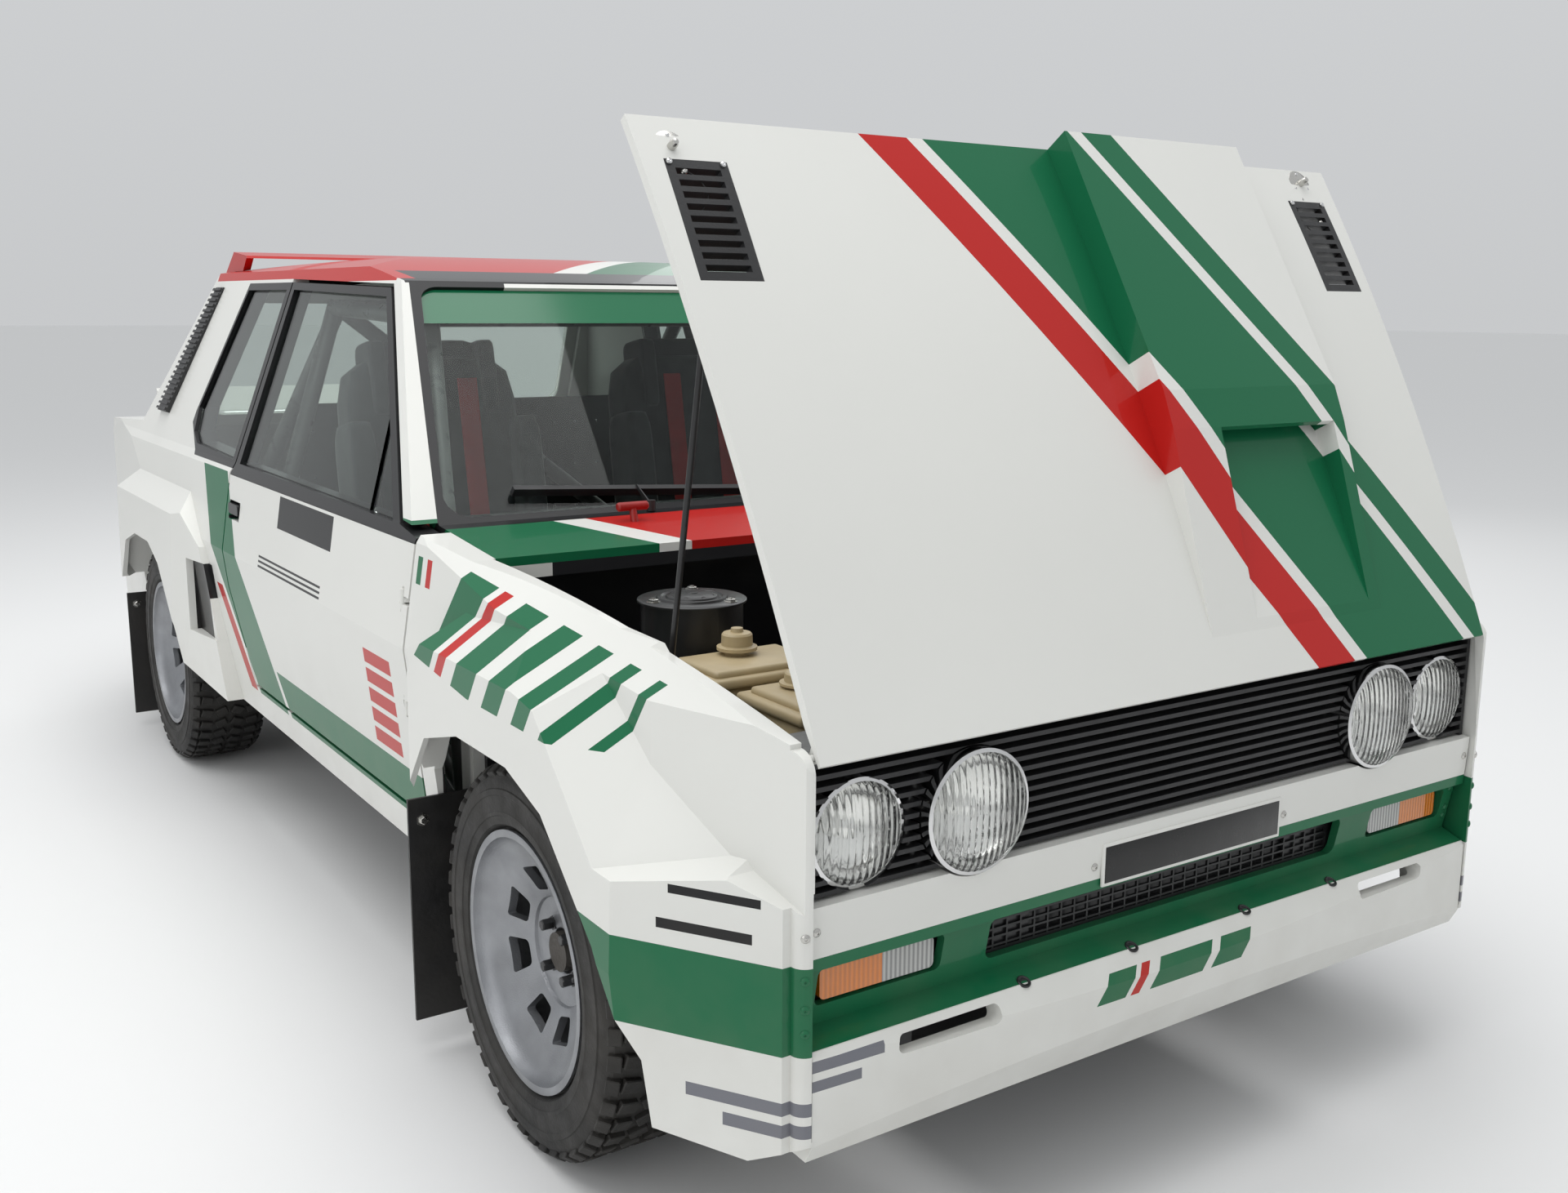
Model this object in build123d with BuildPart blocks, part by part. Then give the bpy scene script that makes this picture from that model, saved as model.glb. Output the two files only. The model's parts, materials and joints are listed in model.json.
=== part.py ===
from build123d import *
import os
from math import asin, atan2, cos, degrees, hypot, radians, sin

# Rally saloon with two doors, standing on its wheels, in millimetres.
# +X is forward, +Y is the car's left and +Z is up.
# The origin is on the ground under the centre of the overall box.

os.makedirs("parts", exist_ok=True)

# Overall sizes
LENGTH = 4130.0
WIDTH = 1720.0
WHEELBASE = 2490.0
FRONT_OVERHANG = 645.0
NOSE = LENGTH / 2
TAIL = -LENGTH / 2
FRONT_AXLE = NOSE - FRONT_OVERHANG
REAR_AXLE = FRONT_AXLE - WHEELBASE

# Wheels and tyres
TRACK = 1426.0
TYRE_RADIUS = 312.0
TYRE_WIDTH = 205.0
RIM_RADIUS = 206.0
RIM_WIDTH = 192.0
BEAD_RADIUS = 190.0
TYRE_FIT = 0.3
WHEEL_WINDOWS = 8
HUB_BORE = 32.0
SPINDLE_FIT = 0.5
WHEEL_Y = TRACK / 2

# Steering and front strut
BALL_JOINT_Y = 625.0
BALL_JOINT_Z = 215.0
STRUT_TOP_Y = 500.0
STRUT_TOP_Z = 845.0
STRUT_RADIUS = 26.0
STRUT_ROD_R = 10.0
BALL_STUB_R = 12.0
TOWER_RADIUS = 82.0

# Body shell thicknesses and shut lines
SKIN = 20.0
DOOR_DEPTH = 55.0
FRAME_DEPTH = 38.0
ROOF_DEPTH = 24.0
BONNET_DEPTH = 14.0
FLOOR_DEPTH = 14.0
SHUT_GAP = 8.0
PANEL_GAP = 0.3
GLASS_DEPTH = 6.0

# Heights of the body
FLOOR_Z = 300.0
BOOT_FLOOR_Z = 560.0
TUNNEL_Y = 110.0
TUNNEL_Z = 440.0
SILL_Z = 322.0
DOOR_BOTTOM_Z = 402.0
CREASE_Z = 718.0
BELT_Z = 920.0
GUTTER_Z = 1392.0
ROOF_Z = 1430.0
BONNET_FRONT_Z = 790.0
BONNET_REAR_Z = 900.0
BOOT_FRONT_Z = 958.0
BOOT_REAR_Z = 930.0

# Half widths of the body
SILL_Y = 772.0
CREASE_Y = 815.0
BELT_Y = 785.0
GUTTER_Y = 594.0
NOSE_Y = 706.0
COWL_Y = 722.0
BONNET_FRONT_Y = 690.0
BUMPER_Y = BONNET_FRONT_Y + 5
TAIL_PANEL_Y = 640.0
TAIL_Y = 745.0
FLARE_Y = WIDTH / 2

# Stations along the body
BONNET_FRONT = FRONT_AXLE + 630.0
BONNET_REAR = FRONT_AXLE - 258.0
SCREEN_BASE = FRONT_AXLE - 515.0
SCREEN_TOP = FRONT_AXLE - 985.0
DOOR_FRONT = FRONT_AXLE - 468.0
DOOR_LENGTH = 1267.0
DOOR_REAR = DOOR_FRONT - DOOR_LENGTH
ROOF_REAR = REAR_AXLE - 20.0
REAR_SCREEN_BASE = REAR_AXLE - 385.0
BODY_REAR = TAIL + 14.0
BOOT_REAR = TAIL + 70.0

# Bonnet hinge, and the angle at which the bonnet stands open
HINGE_X = BONNET_FRONT - 16
HINGE_Z = BONNET_FRONT_Z - 10
HINGE_PIN_R = 4.0
BONNET_OPEN = 55.0

# Wheel arch outline from the axle, as pairs of x and z
FRONT_ARCH = [
    (-348, 240),
    (-350, 500),
    (-262, 614),
    (-120, 652),
    (70, 652),
    (190, 616),
    (350, 480),
    (440, 350),
    (455, 240),
]
REAR_ARCH = [
    (-352, 240),
    (-352, 480),
    (-262, 612),
    (-120, 650),
    (60, 650),
    (180, 606),
    (345, 460),
    (420, 330),
    (430, 240),
]


def side_body(inset):
    """Solid of the whole body volume, moved inwards by an inset and open below and ahead."""
    reach = 3 * inset
    with BuildPart() as body:
        with BuildSketch(Plane.XZ):
            with BuildLine():
                Polyline(
                    (REAR_SCREEN_BASE, BOOT_FRONT_Z),
                    (BOOT_REAR, BOOT_REAR_Z),
                    (BODY_REAR, BOOT_REAR_Z - 50),
                    (BODY_REAR, 560),
                    (BODY_REAR + 60, SILL_Z + 20),
                    (BODY_REAR + 60, SILL_Z - reach),
                    (BONNET_FRONT + reach, SILL_Z - reach),
                    (BONNET_FRONT, BONNET_FRONT_Z),
                )
                ThreePointArc(
                    (BONNET_FRONT, BONNET_FRONT_Z),
                    ((BONNET_FRONT + BONNET_REAR) / 2, (BONNET_FRONT_Z + BONNET_REAR_Z) / 2 + 20),
                    (BONNET_REAR, BONNET_REAR_Z),
                )
                Polyline(
                    (BONNET_REAR, BONNET_REAR_Z),
                    (SCREEN_BASE, BELT_Z + 4),
                    (SCREEN_TOP, GUTTER_Z - 32),
                )
                ThreePointArc(
                    (SCREEN_TOP, GUTTER_Z - 32),
                    ((SCREEN_TOP + ROOF_REAR) / 2, ROOF_Z),
                    (ROOF_REAR, ROOF_Z - 36),
                )
                Line((ROOF_REAR, ROOF_Z - 36), (REAR_SCREEN_BASE, BOOT_FRONT_Z))
            make_face()
            if inset:
                offset(amount=-inset, kind=Kind.INTERSECTION)
        extrude(amount=WIDTH, both=True)
        with BuildSketch(Plane.YZ):
            with BuildLine():
                Polyline(
                    (GUTTER_Y, GUTTER_Z),
                    (BELT_Y - 14, BELT_Z + 8),
                    (BELT_Y, BELT_Z - 14),
                    (CREASE_Y, CREASE_Z),
                    (SILL_Y, SILL_Z - reach),
                    (-SILL_Y, SILL_Z - reach),
                    (-CREASE_Y, CREASE_Z),
                    (-BELT_Y, BELT_Z - 14),
                    (14 - BELT_Y, BELT_Z + 8),
                    (-GUTTER_Y, GUTTER_Z),
                )
                ThreePointArc((-GUTTER_Y, GUTTER_Z), (0, ROOF_Z + 14), (GUTTER_Y, GUTTER_Z))
            make_face()
            if inset:
                offset(amount=-inset, kind=Kind.INTERSECTION)
        extrude(amount=LENGTH, both=True, mode=Mode.INTERSECT)
        with BuildSketch(Plane.XY):
            half = [
                (BONNET_FRONT + reach, NOSE_Y),
                (FRONT_AXLE + 350, NOSE_Y + 62),
                (DOOR_FRONT, CREASE_Y),
                (REAR_AXLE - 60, CREASE_Y),
                (BODY_REAR, TAIL_Y),
            ]
            Polygon(*half, *[(x, -y) for x, y in reversed(half)], align=None)
            if inset:
                offset(amount=-inset, kind=Kind.INTERSECTION)
        extrude(amount=2 * ROOF_Z, both=True, mode=Mode.INTERSECT)
    return body.part


def arch_flare(side_points, plan_points, shoulder_z):
    """Faceted flare on the right side, from its outline seen from the side and from above."""
    with BuildPart() as flare:
        with BuildSketch(Plane.XZ):
            Polygon(*side_points, align=None)
        extrude(amount=WIDTH)
        with BuildSketch(Plane.YZ):
            Polygon(
                (-NOSE_Y + 60, SILL_Z - 120),
                (-NOSE_Y + 60, BELT_Z + 30),
                (-BELT_Y + 20, shoulder_z + 90),
                (-FLARE_Y + 6, shoulder_z),
                (-FLARE_Y, 460),
                (-FLARE_Y + 16, SILL_Z - 120),
                align=None,
            )
        extrude(amount=LENGTH, both=True, mode=Mode.INTERSECT)
        with BuildSketch(Plane.XY):
            Polygon(*plan_points, align=None)
        extrude(amount=2 * ROOF_Z, both=True, mode=Mode.INTERSECT)
    return flare.part


FLARE_SKIN = 12.0
LIP_Z = 246.0
FRONT_FLARE_SIDE = [
    (FRONT_AXLE - 388, 505),
    (FRONT_AXLE - 392, 610),
    (FRONT_AXLE - 330, 720),
    (FRONT_AXLE - 150, 880),
    (FRONT_AXLE + 300, 860),
    (FRONT_AXLE + 540, 620),
    (BONNET_FRONT, 585),
    (BONNET_FRONT, LIP_Z + 30),
    (BONNET_FRONT - 60, LIP_Z),
    (FRONT_AXLE + 440, LIP_Z + 14),
    (FRONT_AXLE + 400, SILL_Z),
]
FRONT_FLARE_PLAN = [
    (FRONT_AXLE - 392, -NOSE_Y + 20),
    (FRONT_AXLE - 392, -CREASE_Y + 4),
    (FRONT_AXLE - 330, -FLARE_Y),
    (FRONT_AXLE + 400, -FLARE_Y),
    (BONNET_FRONT, -NOSE_Y - 10),
    (BONNET_FRONT, -NOSE_Y + 20),
]
REAR_FLARE_SIDE = [
    (REAR_AXLE + 690, SILL_Z),
    (REAR_AXLE + 560, 700),
    (REAR_AXLE + 330, 850),
    (REAR_AXLE - 240, 850),
    (REAR_AXLE - 430, 700),
    (REAR_AXLE - 424, 500),
]
REAR_FLARE_PLAN = [
    (REAR_AXLE + 690, -NOSE_Y + 20),
    (REAR_AXLE + 690, -CREASE_Y + 4),
    (REAR_AXLE + 330, -FLARE_Y),
    (REAR_AXLE - 350, -FLARE_Y),
    (REAR_AXLE - 430, -CREASE_Y + 24),
    (REAR_AXLE - 430, -NOSE_Y + 20),
]

outer_body = side_body(0)
inner_skin = side_body(SKIN)
inner_door = side_body(DOOR_DEPTH)
inner_frame = side_body(FRAME_DEPTH)
inner_roof = side_body(ROOF_DEPTH)
inner_bonnet = side_body(BONNET_DEPTH)
glass_outer = side_body(8)
glass_inner = side_body(8 + GLASS_DEPTH)
front_flare = arch_flare(FRONT_FLARE_SIDE, FRONT_FLARE_PLAN, 770)
rear_flare = arch_flare(REAR_FLARE_SIDE, REAR_FLARE_PLAN, 765)

# Recess between the front flare and the lamps, ahead of a slanted ramp and above the spoiler corner
RAMP_TOP = Vector(FRONT_AXLE + 180, -FLARE_Y + 5, 745)
RAMP_FOOT = Vector(FRONT_AXLE + 337, -FLARE_Y + 5, 605)
RAMP_INNER = Vector(FRONT_AXLE + 420, -FLARE_Y + 125, 700)
ramp_plane = Plane(
    origin=RAMP_TOP,
    x_dir=RAMP_FOOT - RAMP_TOP,
    z_dir=(RAMP_FOOT - RAMP_TOP).cross(RAMP_INNER - RAMP_TOP),
)
with BuildPart() as nose_recess:
    with BuildSketch(Plane.YZ.offset(FRONT_AXLE)):
        Polygon(
            (-NOSE_Y + 10, 642),
            (-FLARE_Y, 588),
            (-FLARE_Y - 40, 588),
            (-FLARE_Y - 40, BELT_Z),
            (-NOSE_Y + 10, BELT_Z),
            align=None,
        )
    extrude(amount=FRONT_OVERHANG)
    with BuildSketch(ramp_plane):
        Rectangle(LENGTH, LENGTH)
    extrude(amount=500, mode=Mode.INTERSECT)
front_flare -= nose_recess.part


def keep(part, name):
    """Label a finished piece and write it under its own name."""
    part.label = name
    export_step(part, "parts/" + name + ".step")


def bar(start, end, radius):
    """Round bar between two points."""
    way = Vector(*end) - Vector(*start)
    with BuildPart() as rod:
        with BuildSketch(Plane(origin=start, z_dir=way)):
            Circle(radius)
        extrude(amount=way.length)
    return rod.part


def both_sides(right_part, name):
    """Write a right-hand piece and its mirror image as two pieces."""
    keep(right_part, name + "_right")
    keep(mirror(right_part, about=Plane.XZ), name + "_left")


def arch_points(axle, outline, grow):
    """Arch outline about an axle, larger than the lip by a grow distance."""
    with BuildSketch(Plane.XZ) as arch:
        Polygon(*[(axle + x, z) for x, z in outline], align=None)
        fillet(arch.vertices().filter_by(lambda v: v.Z > 300), 60)
        if grow:
            offset(amount=grow, kind=Kind.INTERSECTION)
    return arch.sketch


def wheel_room(axle, outline, grow, plan_points):
    """Room behind an arch lip, which leaves the flare its skin where the flare tapers."""
    with BuildPart() as room:
        extrude(arch_points(axle, outline, grow), amount=FLARE_Y - FLARE_SKIN)
        with BuildSketch(Plane.XY):
            Polygon(*plan_points, align=None)
        extrude(amount=ROOF_Z, mode=Mode.INTERSECT)
    return room.part


FRONT_ROOM_PLAN = [
    (FRONT_AXLE - 500, 0),
    (FRONT_AXLE - 500, -FLARE_Y),
    (FRONT_AXLE + 385, -FLARE_Y),
    (BONNET_FRONT, -NOSE_Y + 8),
    (BONNET_FRONT, 0),
]
REAR_ROOM_PLAN = [
    (REAR_AXLE + 690, 0),
    (REAR_AXLE + 690, -CREASE_Y + 18),
    (REAR_AXLE + 330, -FLARE_Y + 14),
    (REAR_AXLE - 340, -FLARE_Y + 14),
    (REAR_AXLE - 420, -CREASE_Y + 42),
    (REAR_AXLE - 500, -CREASE_Y + 42),
    (REAR_AXLE - 500, 0),
]

# Steering axis of the right-hand front wheel
KINGPIN = (Vector(0, -STRUT_TOP_Y, STRUT_TOP_Z) - Vector(0, -BALL_JOINT_Y, BALL_JOINT_Z)).normalized()
kingpin_foot = Vector(FRONT_AXLE, -BALL_JOINT_Y, BALL_JOINT_Z)


def on_kingpin(height):
    """Point on the right-hand steering axis at a height."""
    return kingpin_foot + KINGPIN * ((height - BALL_JOINT_Z) / KINGPIN.Z)


def on_left_kingpin(height):
    """Point on the left-hand steering axis at a height."""
    point = on_kingpin(height)
    return Vector(point.X, -point.Y, point.Z)


# Outlines in the side view that split the body into its real panels
PILLAR_SLOPE = (SCREEN_TOP - SCREEN_BASE) / (GUTTER_Z - 32 - BELT_Z - 4)
PILLAR_SETBACK = 62.0
HEADER_REAR = SCREEN_TOP - 30
DOOR_CORNER = SCREEN_BASE - PILLAR_SETBACK
DOOR_TOP_FRONT_Z = GUTTER_Z - 46
DOOR_TOP_REAR_Z = GUTTER_Z - 30
DOOR_TOP_FRONT = DOOR_CORNER + PILLAR_SLOPE * (DOOR_TOP_FRONT_Z - BELT_Z - 4)
WINDOW_FRAME = 18.0
DOOR_OUTLINE = [
    (DOOR_FRONT, DOOR_BOTTOM_Z),
    (DOOR_FRONT, BELT_Z - 8),
    (DOOR_CORNER, BELT_Z + 4),
    (DOOR_TOP_FRONT, DOOR_TOP_FRONT_Z),
    (DOOR_REAR - 14, DOOR_TOP_REAR_Z),
    (DOOR_REAR, BELT_Z),
    (DOOR_REAR, CREASE_Z - 90),
    (DOOR_REAR + 110, DOOR_BOTTOM_Z),
]
DOOR_WINDOW = [
    (DOOR_CORNER - 36, BELT_Z + 4),
    (DOOR_TOP_FRONT - 12, DOOR_TOP_FRONT_Z - WINDOW_FRAME),
    (DOOR_REAR + 12, DOOR_TOP_REAR_Z - WINDOW_FRAME),
    (DOOR_REAR + 34, BELT_Z + 10),
]
QUARTER_FRONT = DOOR_REAR - SHUT_GAP - 30
QUARTER_WINDOW = [
    (QUARTER_FRONT, BELT_Z + 14),
    (QUARTER_FRONT - 14, DOOR_TOP_REAR_Z - WINDOW_FRAME),
    (REAR_AXLE + 350, DOOR_TOP_REAR_Z - WINDOW_FRAME),
    (REAR_AXLE + 232, BELT_Z + 110),
    (REAR_AXLE + 262, BELT_Z + 50),
    (REAR_AXLE + 330, BELT_Z + 24),
]
ROOF_SPLIT_Z = DOOR_TOP_REAR_Z + SHUT_GAP

# Doors, each as thick as the whole door, with the window cut and a recessed pull handle
HANDLE_X = DOOR_REAR + 70
HANDLE_Z = 822.0
DOOR_DRAFT = 0.2
with BuildPart() as door_core:
    with BuildSketch(Plane.YZ.offset(DOOR_REAR - 100)):
        Polygon(
            (DOOR_DEPTH - SILL_Y, 0),
            (DOOR_DEPTH - CREASE_Y, CREASE_Z),
            (DOOR_DEPTH - 1 - BELT_Y, BELT_Z - 14),
            (DOOR_DEPTH - BELT_Y, BELT_Z + 8),
            (DOOR_DEPTH - 10 - GUTTER_Y, GUTTER_Z),
            (0, GUTTER_Z),
            (0, 0),
            align=None,
        )
    extrude(amount=DOOR_LENGTH + 200)
rear_edge = Vector(-14, BELT_Y - 14 - GUTTER_Y, DOOR_TOP_REAR_Z - BELT_Z)
draft_plane = Plane(
    origin=(DOOR_REAR, 14 - BELT_Y, BELT_Z),
    x_dir=rear_edge,
    z_dir=rear_edge.cross(Vector(DOOR_DRAFT, 1, 0)),
)
DOOR_HINGE_X = DOOR_FRONT - 30
DOOR_HINGE_Y = 800.0
DOOR_HINGE_PIN_R = 5.0
DOOR_HINGES_Z = (610.0, 800.0)
with BuildPart() as door:
    add(outer_body)
    add(door_core.part, mode=Mode.SUBTRACT)
    with BuildSketch(Plane.XZ):
        Polygon(*DOOR_OUTLINE, align=None)
    extrude(amount=WIDTH, mode=Mode.INTERSECT)
    with BuildSketch(Plane.XZ):
        Polygon(*DOOR_WINDOW, align=None)
    extrude(amount=WIDTH, mode=Mode.SUBTRACT)
    with BuildSketch(draft_plane):
        Rectangle(700, 400, align=(Align.MIN, Align.CENTER))
    extrude(amount=60, mode=Mode.SUBTRACT)
    for hinge_z in DOOR_HINGES_Z:
        with BuildSketch(Plane.XY.offset(hinge_z - 7)):
            with Locations((DOOR_HINGE_X - 9, -DOOR_HINGE_Y - 5)):
                Rectangle(100, 100, align=(Align.MIN, Align.MIN))
        extrude(amount=14, mode=Mode.SUBTRACT)
        with BuildSketch(Plane.XY.offset(hinge_z - 24)):
            with Locations((DOOR_HINGE_X, -DOOR_HINGE_Y)):
                Circle(DOOR_HINGE_PIN_R + SPINDLE_FIT / 2)
        extrude(amount=48, mode=Mode.SUBTRACT)
    with BuildSketch(Plane.XZ.offset(BELT_Y)):
        with Locations((HANDLE_X, HANDLE_Z)):
            RectangleRounded(96, 44, 12)
    extrude(amount=60, mode=Mode.SUBTRACT)
    with BuildSketch(Plane.XZ.offset(BELT_Y)):
        with Locations((HANDLE_X, HANDLE_Z + 4)):
            RectangleRounded(84, 26, 9)
    extrude(amount=17)
both_sides(door.part, "door")

# Door glass: a vent pane ahead of the divider bar and the main pane behind it
VENT_X = DOOR_CORNER - 190
with BuildPart() as door_glass:
    add(glass_outer)
    add(glass_inner, mode=Mode.SUBTRACT)
    with BuildSketch(Plane.XZ):
        Polygon(*DOOR_WINDOW, align=None)
        offset(amount=-PANEL_GAP)
        Polygon(
            (VENT_X, BELT_Z),
            (VENT_X + 24, BELT_Z),
            (VENT_X + 24 - 145, GUTTER_Z),
            (VENT_X - 145, GUTTER_Z),
            align=None,
            mode=Mode.SUBTRACT,
        )
    extrude(amount=WIDTH, mode=Mode.INTERSECT)
both_sides(door_glass.part, "door_glass")

# Body side: sill, pillars behind the door, rear wing with its flare and its air intake
INTAKE_LOW_Z = 470.0
INTAKE_HIGH_Z = 660.0
with BuildPart() as body_side:
    add(outer_body)
    add(rear_flare)
    add(inner_door, mode=Mode.SUBTRACT)
    with BuildSketch(Plane.XZ):
        Polygon(
            (DOOR_FRONT + SHUT_GAP - PANEL_GAP, 0),
            (DOOR_FRONT + SHUT_GAP - PANEL_GAP, DOOR_BOTTOM_Z - SHUT_GAP),
            (DOOR_REAR + 160, DOOR_BOTTOM_Z - SHUT_GAP),
            (DOOR_REAR + 160, CREASE_Z),
            (DOOR_REAR - SHUT_GAP - 14, ROOF_SPLIT_Z),
            (ROOF_REAR, ROOF_SPLIT_Z),
            (ROOF_REAR, ROOF_Z),
            (TAIL, ROOF_Z),
            (TAIL, 0),
            align=None,
        )
    extrude(amount=WIDTH, mode=Mode.INTERSECT)
    with BuildSketch(Plane.XZ):
        Polygon(*DOOR_OUTLINE, align=None)
        offset(amount=SHUT_GAP, kind=Kind.INTERSECTION)
    extrude(amount=WIDTH, mode=Mode.SUBTRACT)
    with BuildSketch(Plane.XY):
        Polygon(
            (DOOR_FRONT + 100, 0),
            (DOOR_FRONT + 100, -WIDTH),
            (TAIL, -WIDTH),
            (TAIL, -TAIL_PANEL_Y),
            (REAR_SCREEN_BASE, -TAIL_PANEL_Y),
            (ROOF_REAR, -GUTTER_Y + 44),
            (ROOF_REAR, 0),
            align=None,
        )
    extrude(amount=2 * ROOF_Z, mode=Mode.INTERSECT)
    with BuildSketch(Plane.XZ):
        Polygon(*QUARTER_WINDOW, align=None)
    extrude(amount=WIDTH, mode=Mode.SUBTRACT)
    extrude(arch_points(REAR_AXLE, REAR_ARCH, 0), amount=WIDTH, mode=Mode.SUBTRACT)
    add(wheel_room(REAR_AXLE, REAR_ARCH, 24, REAR_ROOM_PLAN), mode=Mode.SUBTRACT)
    with BuildSketch(Plane.YZ.offset(REAR_AXLE + 700)):
        Polygon(
            (-CREASE_Y + 2, INTAKE_LOW_Z),
            (-FLARE_Y + 12, INTAKE_LOW_Z),
            (-FLARE_Y + 12, INTAKE_HIGH_Z),
            (-CREASE_Y - 8, INTAKE_HIGH_Z),
            align=None,
        )
    extrude(amount=-235, mode=Mode.SUBTRACT)
both_sides(body_side.part, "body_side")

# Roof panel with its turned-down edges over the doors
with BuildPart() as roof:
    add(outer_body)
    add(inner_roof, mode=Mode.SUBTRACT)
    with BuildSketch(Plane.XZ):
        Polygon(
            (HEADER_REAR - PANEL_GAP, ROOF_Z + 20),
            (HEADER_REAR - PANEL_GAP, DOOR_TOP_FRONT_Z + SHUT_GAP),
            (DOOR_TOP_FRONT, DOOR_TOP_FRONT_Z + SHUT_GAP),
            (DOOR_REAR - SHUT_GAP - 14, ROOF_SPLIT_Z),
            (ROOF_REAR + PANEL_GAP, ROOF_SPLIT_Z),
            (ROOF_REAR + PANEL_GAP, ROOF_Z + 20),
            align=None,
        )
    extrude(amount=WIDTH, both=True, mode=Mode.INTERSECT)
keep(roof.part, "roof_panel")

# Scuttle with the screen pillars and header, the bulkhead and the door hinge posts
BULKHEAD_X = BONNET_REAR - 160
BULKHEAD_DEPTH = 10.0
SCREEN_HEIGHT = hypot(SCREEN_BASE - SCREEN_TOP, GUTTER_Z - 32 - BELT_Z - 4)
SCREEN_LEAN = degrees(atan2(SCREEN_BASE - SCREEN_TOP, GUTTER_Z - 32 - BELT_Z - 4))
screen_plane = Plane(
    origin=(SCREEN_BASE, 0, BELT_Z + 4),
    x_dir=(0, 1, 0),
    z_dir=(cos(radians(SCREEN_LEAN)), 0, sin(radians(SCREEN_LEAN))),
)
SCREEN_BOTTOM_Y = 706.0
SCREEN_TOP_Y = 572.0
SCREEN_OUTLINE = [
    (-SCREEN_BOTTOM_Y, 14),
    (SCREEN_BOTTOM_Y, 14),
    (SCREEN_TOP_Y, SCREEN_HEIGHT - 18),
    (-SCREEN_TOP_Y, SCREEN_HEIGHT - 18),
]
with BuildPart() as scuttle_region:
    with BuildSketch(Plane.XZ):
        Polygon(
            (SCREEN_BASE - 50, BELT_Z - 40),
            (DOOR_FRONT, BELT_Z - 70),
            (BONNET_REAR - 5, BELT_Z - 70),
            (BONNET_REAR - 5, BELT_Z + 40),
            (SCREEN_BASE - 50, BELT_Z + 90),
            align=None,
        )
    extrude(amount=COWL_Y, both=True)
    with BuildSketch(Plane.XZ):
        Polygon(
            (SCREEN_BASE, BELT_Z + SHUT_GAP),
            (SCREEN_BASE + 60, BELT_Z + 40),
            (SCREEN_TOP + 60, ROOF_Z + 20),
            (HEADER_REAR, ROOF_Z + 20),
            (HEADER_REAR, DOOR_TOP_FRONT_Z + SHUT_GAP),
            (DOOR_TOP_FRONT + 10, DOOR_TOP_FRONT_Z + SHUT_GAP),
            (DOOR_CORNER + 10, BELT_Z + 4 + SHUT_GAP),
            align=None,
        )
    extrude(amount=WIDTH, both=True)
with BuildPart() as scuttle:
    add(outer_body)
    add(inner_frame, mode=Mode.SUBTRACT)
    add(scuttle_region.part, mode=Mode.INTERSECT)
    with BuildSketch(screen_plane):
        Polygon(*SCREEN_OUTLINE, align=None)
        fillet(vertices(), 45)
    extrude(amount=FRAME_DEPTH * 3, both=True, mode=Mode.SUBTRACT)
    with BuildSketch(Plane.YZ.offset(BULKHEAD_X - BULKHEAD_DEPTH / 2)):
        with Locations((0, FLOOR_Z + FLOOR_DEPTH)):
            Rectangle(2 * COWL_Y - 20, BELT_Z - 40 - FLOOR_Z - FLOOR_DEPTH, align=(Align.CENTER, Align.MIN))
            Rectangle(2 * TUNNEL_Y, TUNNEL_Z - FLOOR_Z, align=(Align.CENTER, Align.MIN), mode=Mode.SUBTRACT)
    extrude(amount=BULKHEAD_DEPTH)
    with BuildSketch(Plane.XY.offset(SILL_Z + 4)):
        for side in (-1, 1):
            with Locations(((DOOR_FRONT + SHUT_GAP + BULKHEAD_X) / 2, side * (COWL_Y - 30))):
                Rectangle(BULKHEAD_X - DOOR_FRONT - SHUT_GAP, 50)
    extrude(amount=BELT_Z - 60 - SILL_Z)
    for hinge_z in DOOR_HINGES_Z:
        for side in (-1, 1):
            with BuildSketch(Plane.XY.offset(hinge_z - 4)):
                Polygon(
                    (DOOR_FRONT + SHUT_GAP + 4, side * (COWL_Y - 10)),
                    (DOOR_FRONT + SHUT_GAP + 30, side * (COWL_Y - 10)),
                    (DOOR_HINGE_X + 5, side * DOOR_HINGE_Y),
                    (DOOR_HINGE_X - 5, side * (DOOR_HINGE_Y - 2)),
                    align=None,
                )
            extrude(amount=8)
            with BuildSketch(Plane.XY.offset(hinge_z - 20)):
                with Locations((DOOR_HINGE_X, side * DOOR_HINGE_Y)):
                    Circle(DOOR_HINGE_PIN_R)
            extrude(amount=40)
keep(scuttle.part, "scuttle")

# Front wings: top edge along the bonnet, sloping side, faceted flare and the corner of the spoiler
WING_EDGE = [
    (DOOR_FRONT + SHUT_GAP, -COWL_Y - PANEL_GAP),
    (BONNET_REAR - 5, -COWL_Y - PANEL_GAP),
    (BONNET_REAR - 5, -COWL_Y - 5),
    (BONNET_FRONT, -BONNET_FRONT_Y - 5),
    (NOSE, -BONNET_FRONT_Y - 5),
    (NOSE, -WIDTH),
    (DOOR_FRONT + SHUT_GAP, -WIDTH),
]
WING_FACET = Plane(
    origin=(FRONT_AXLE + 100, -COWL_Y, BONNET_REAR_Z - 20),
    x_dir=(0, -131, -110),
    z_dir=Vector(0, -131, -110).cross(Vector(DOOR_FRONT + 60 - FRONT_AXLE - 100, COWL_Y - BELT_Y, 26)) * -1,
)
NOSE_ROUND = 20.0
BONNET_CORNER_ROUND = 30.0
with BuildPart() as wing_inside:
    add(inner_skin)
    with BuildSketch(WING_FACET.offset(-SKIN)):
        Rectangle(3 * WIDTH, 3 * LENGTH)
    extrude(amount=500, mode=Mode.SUBTRACT)
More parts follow.
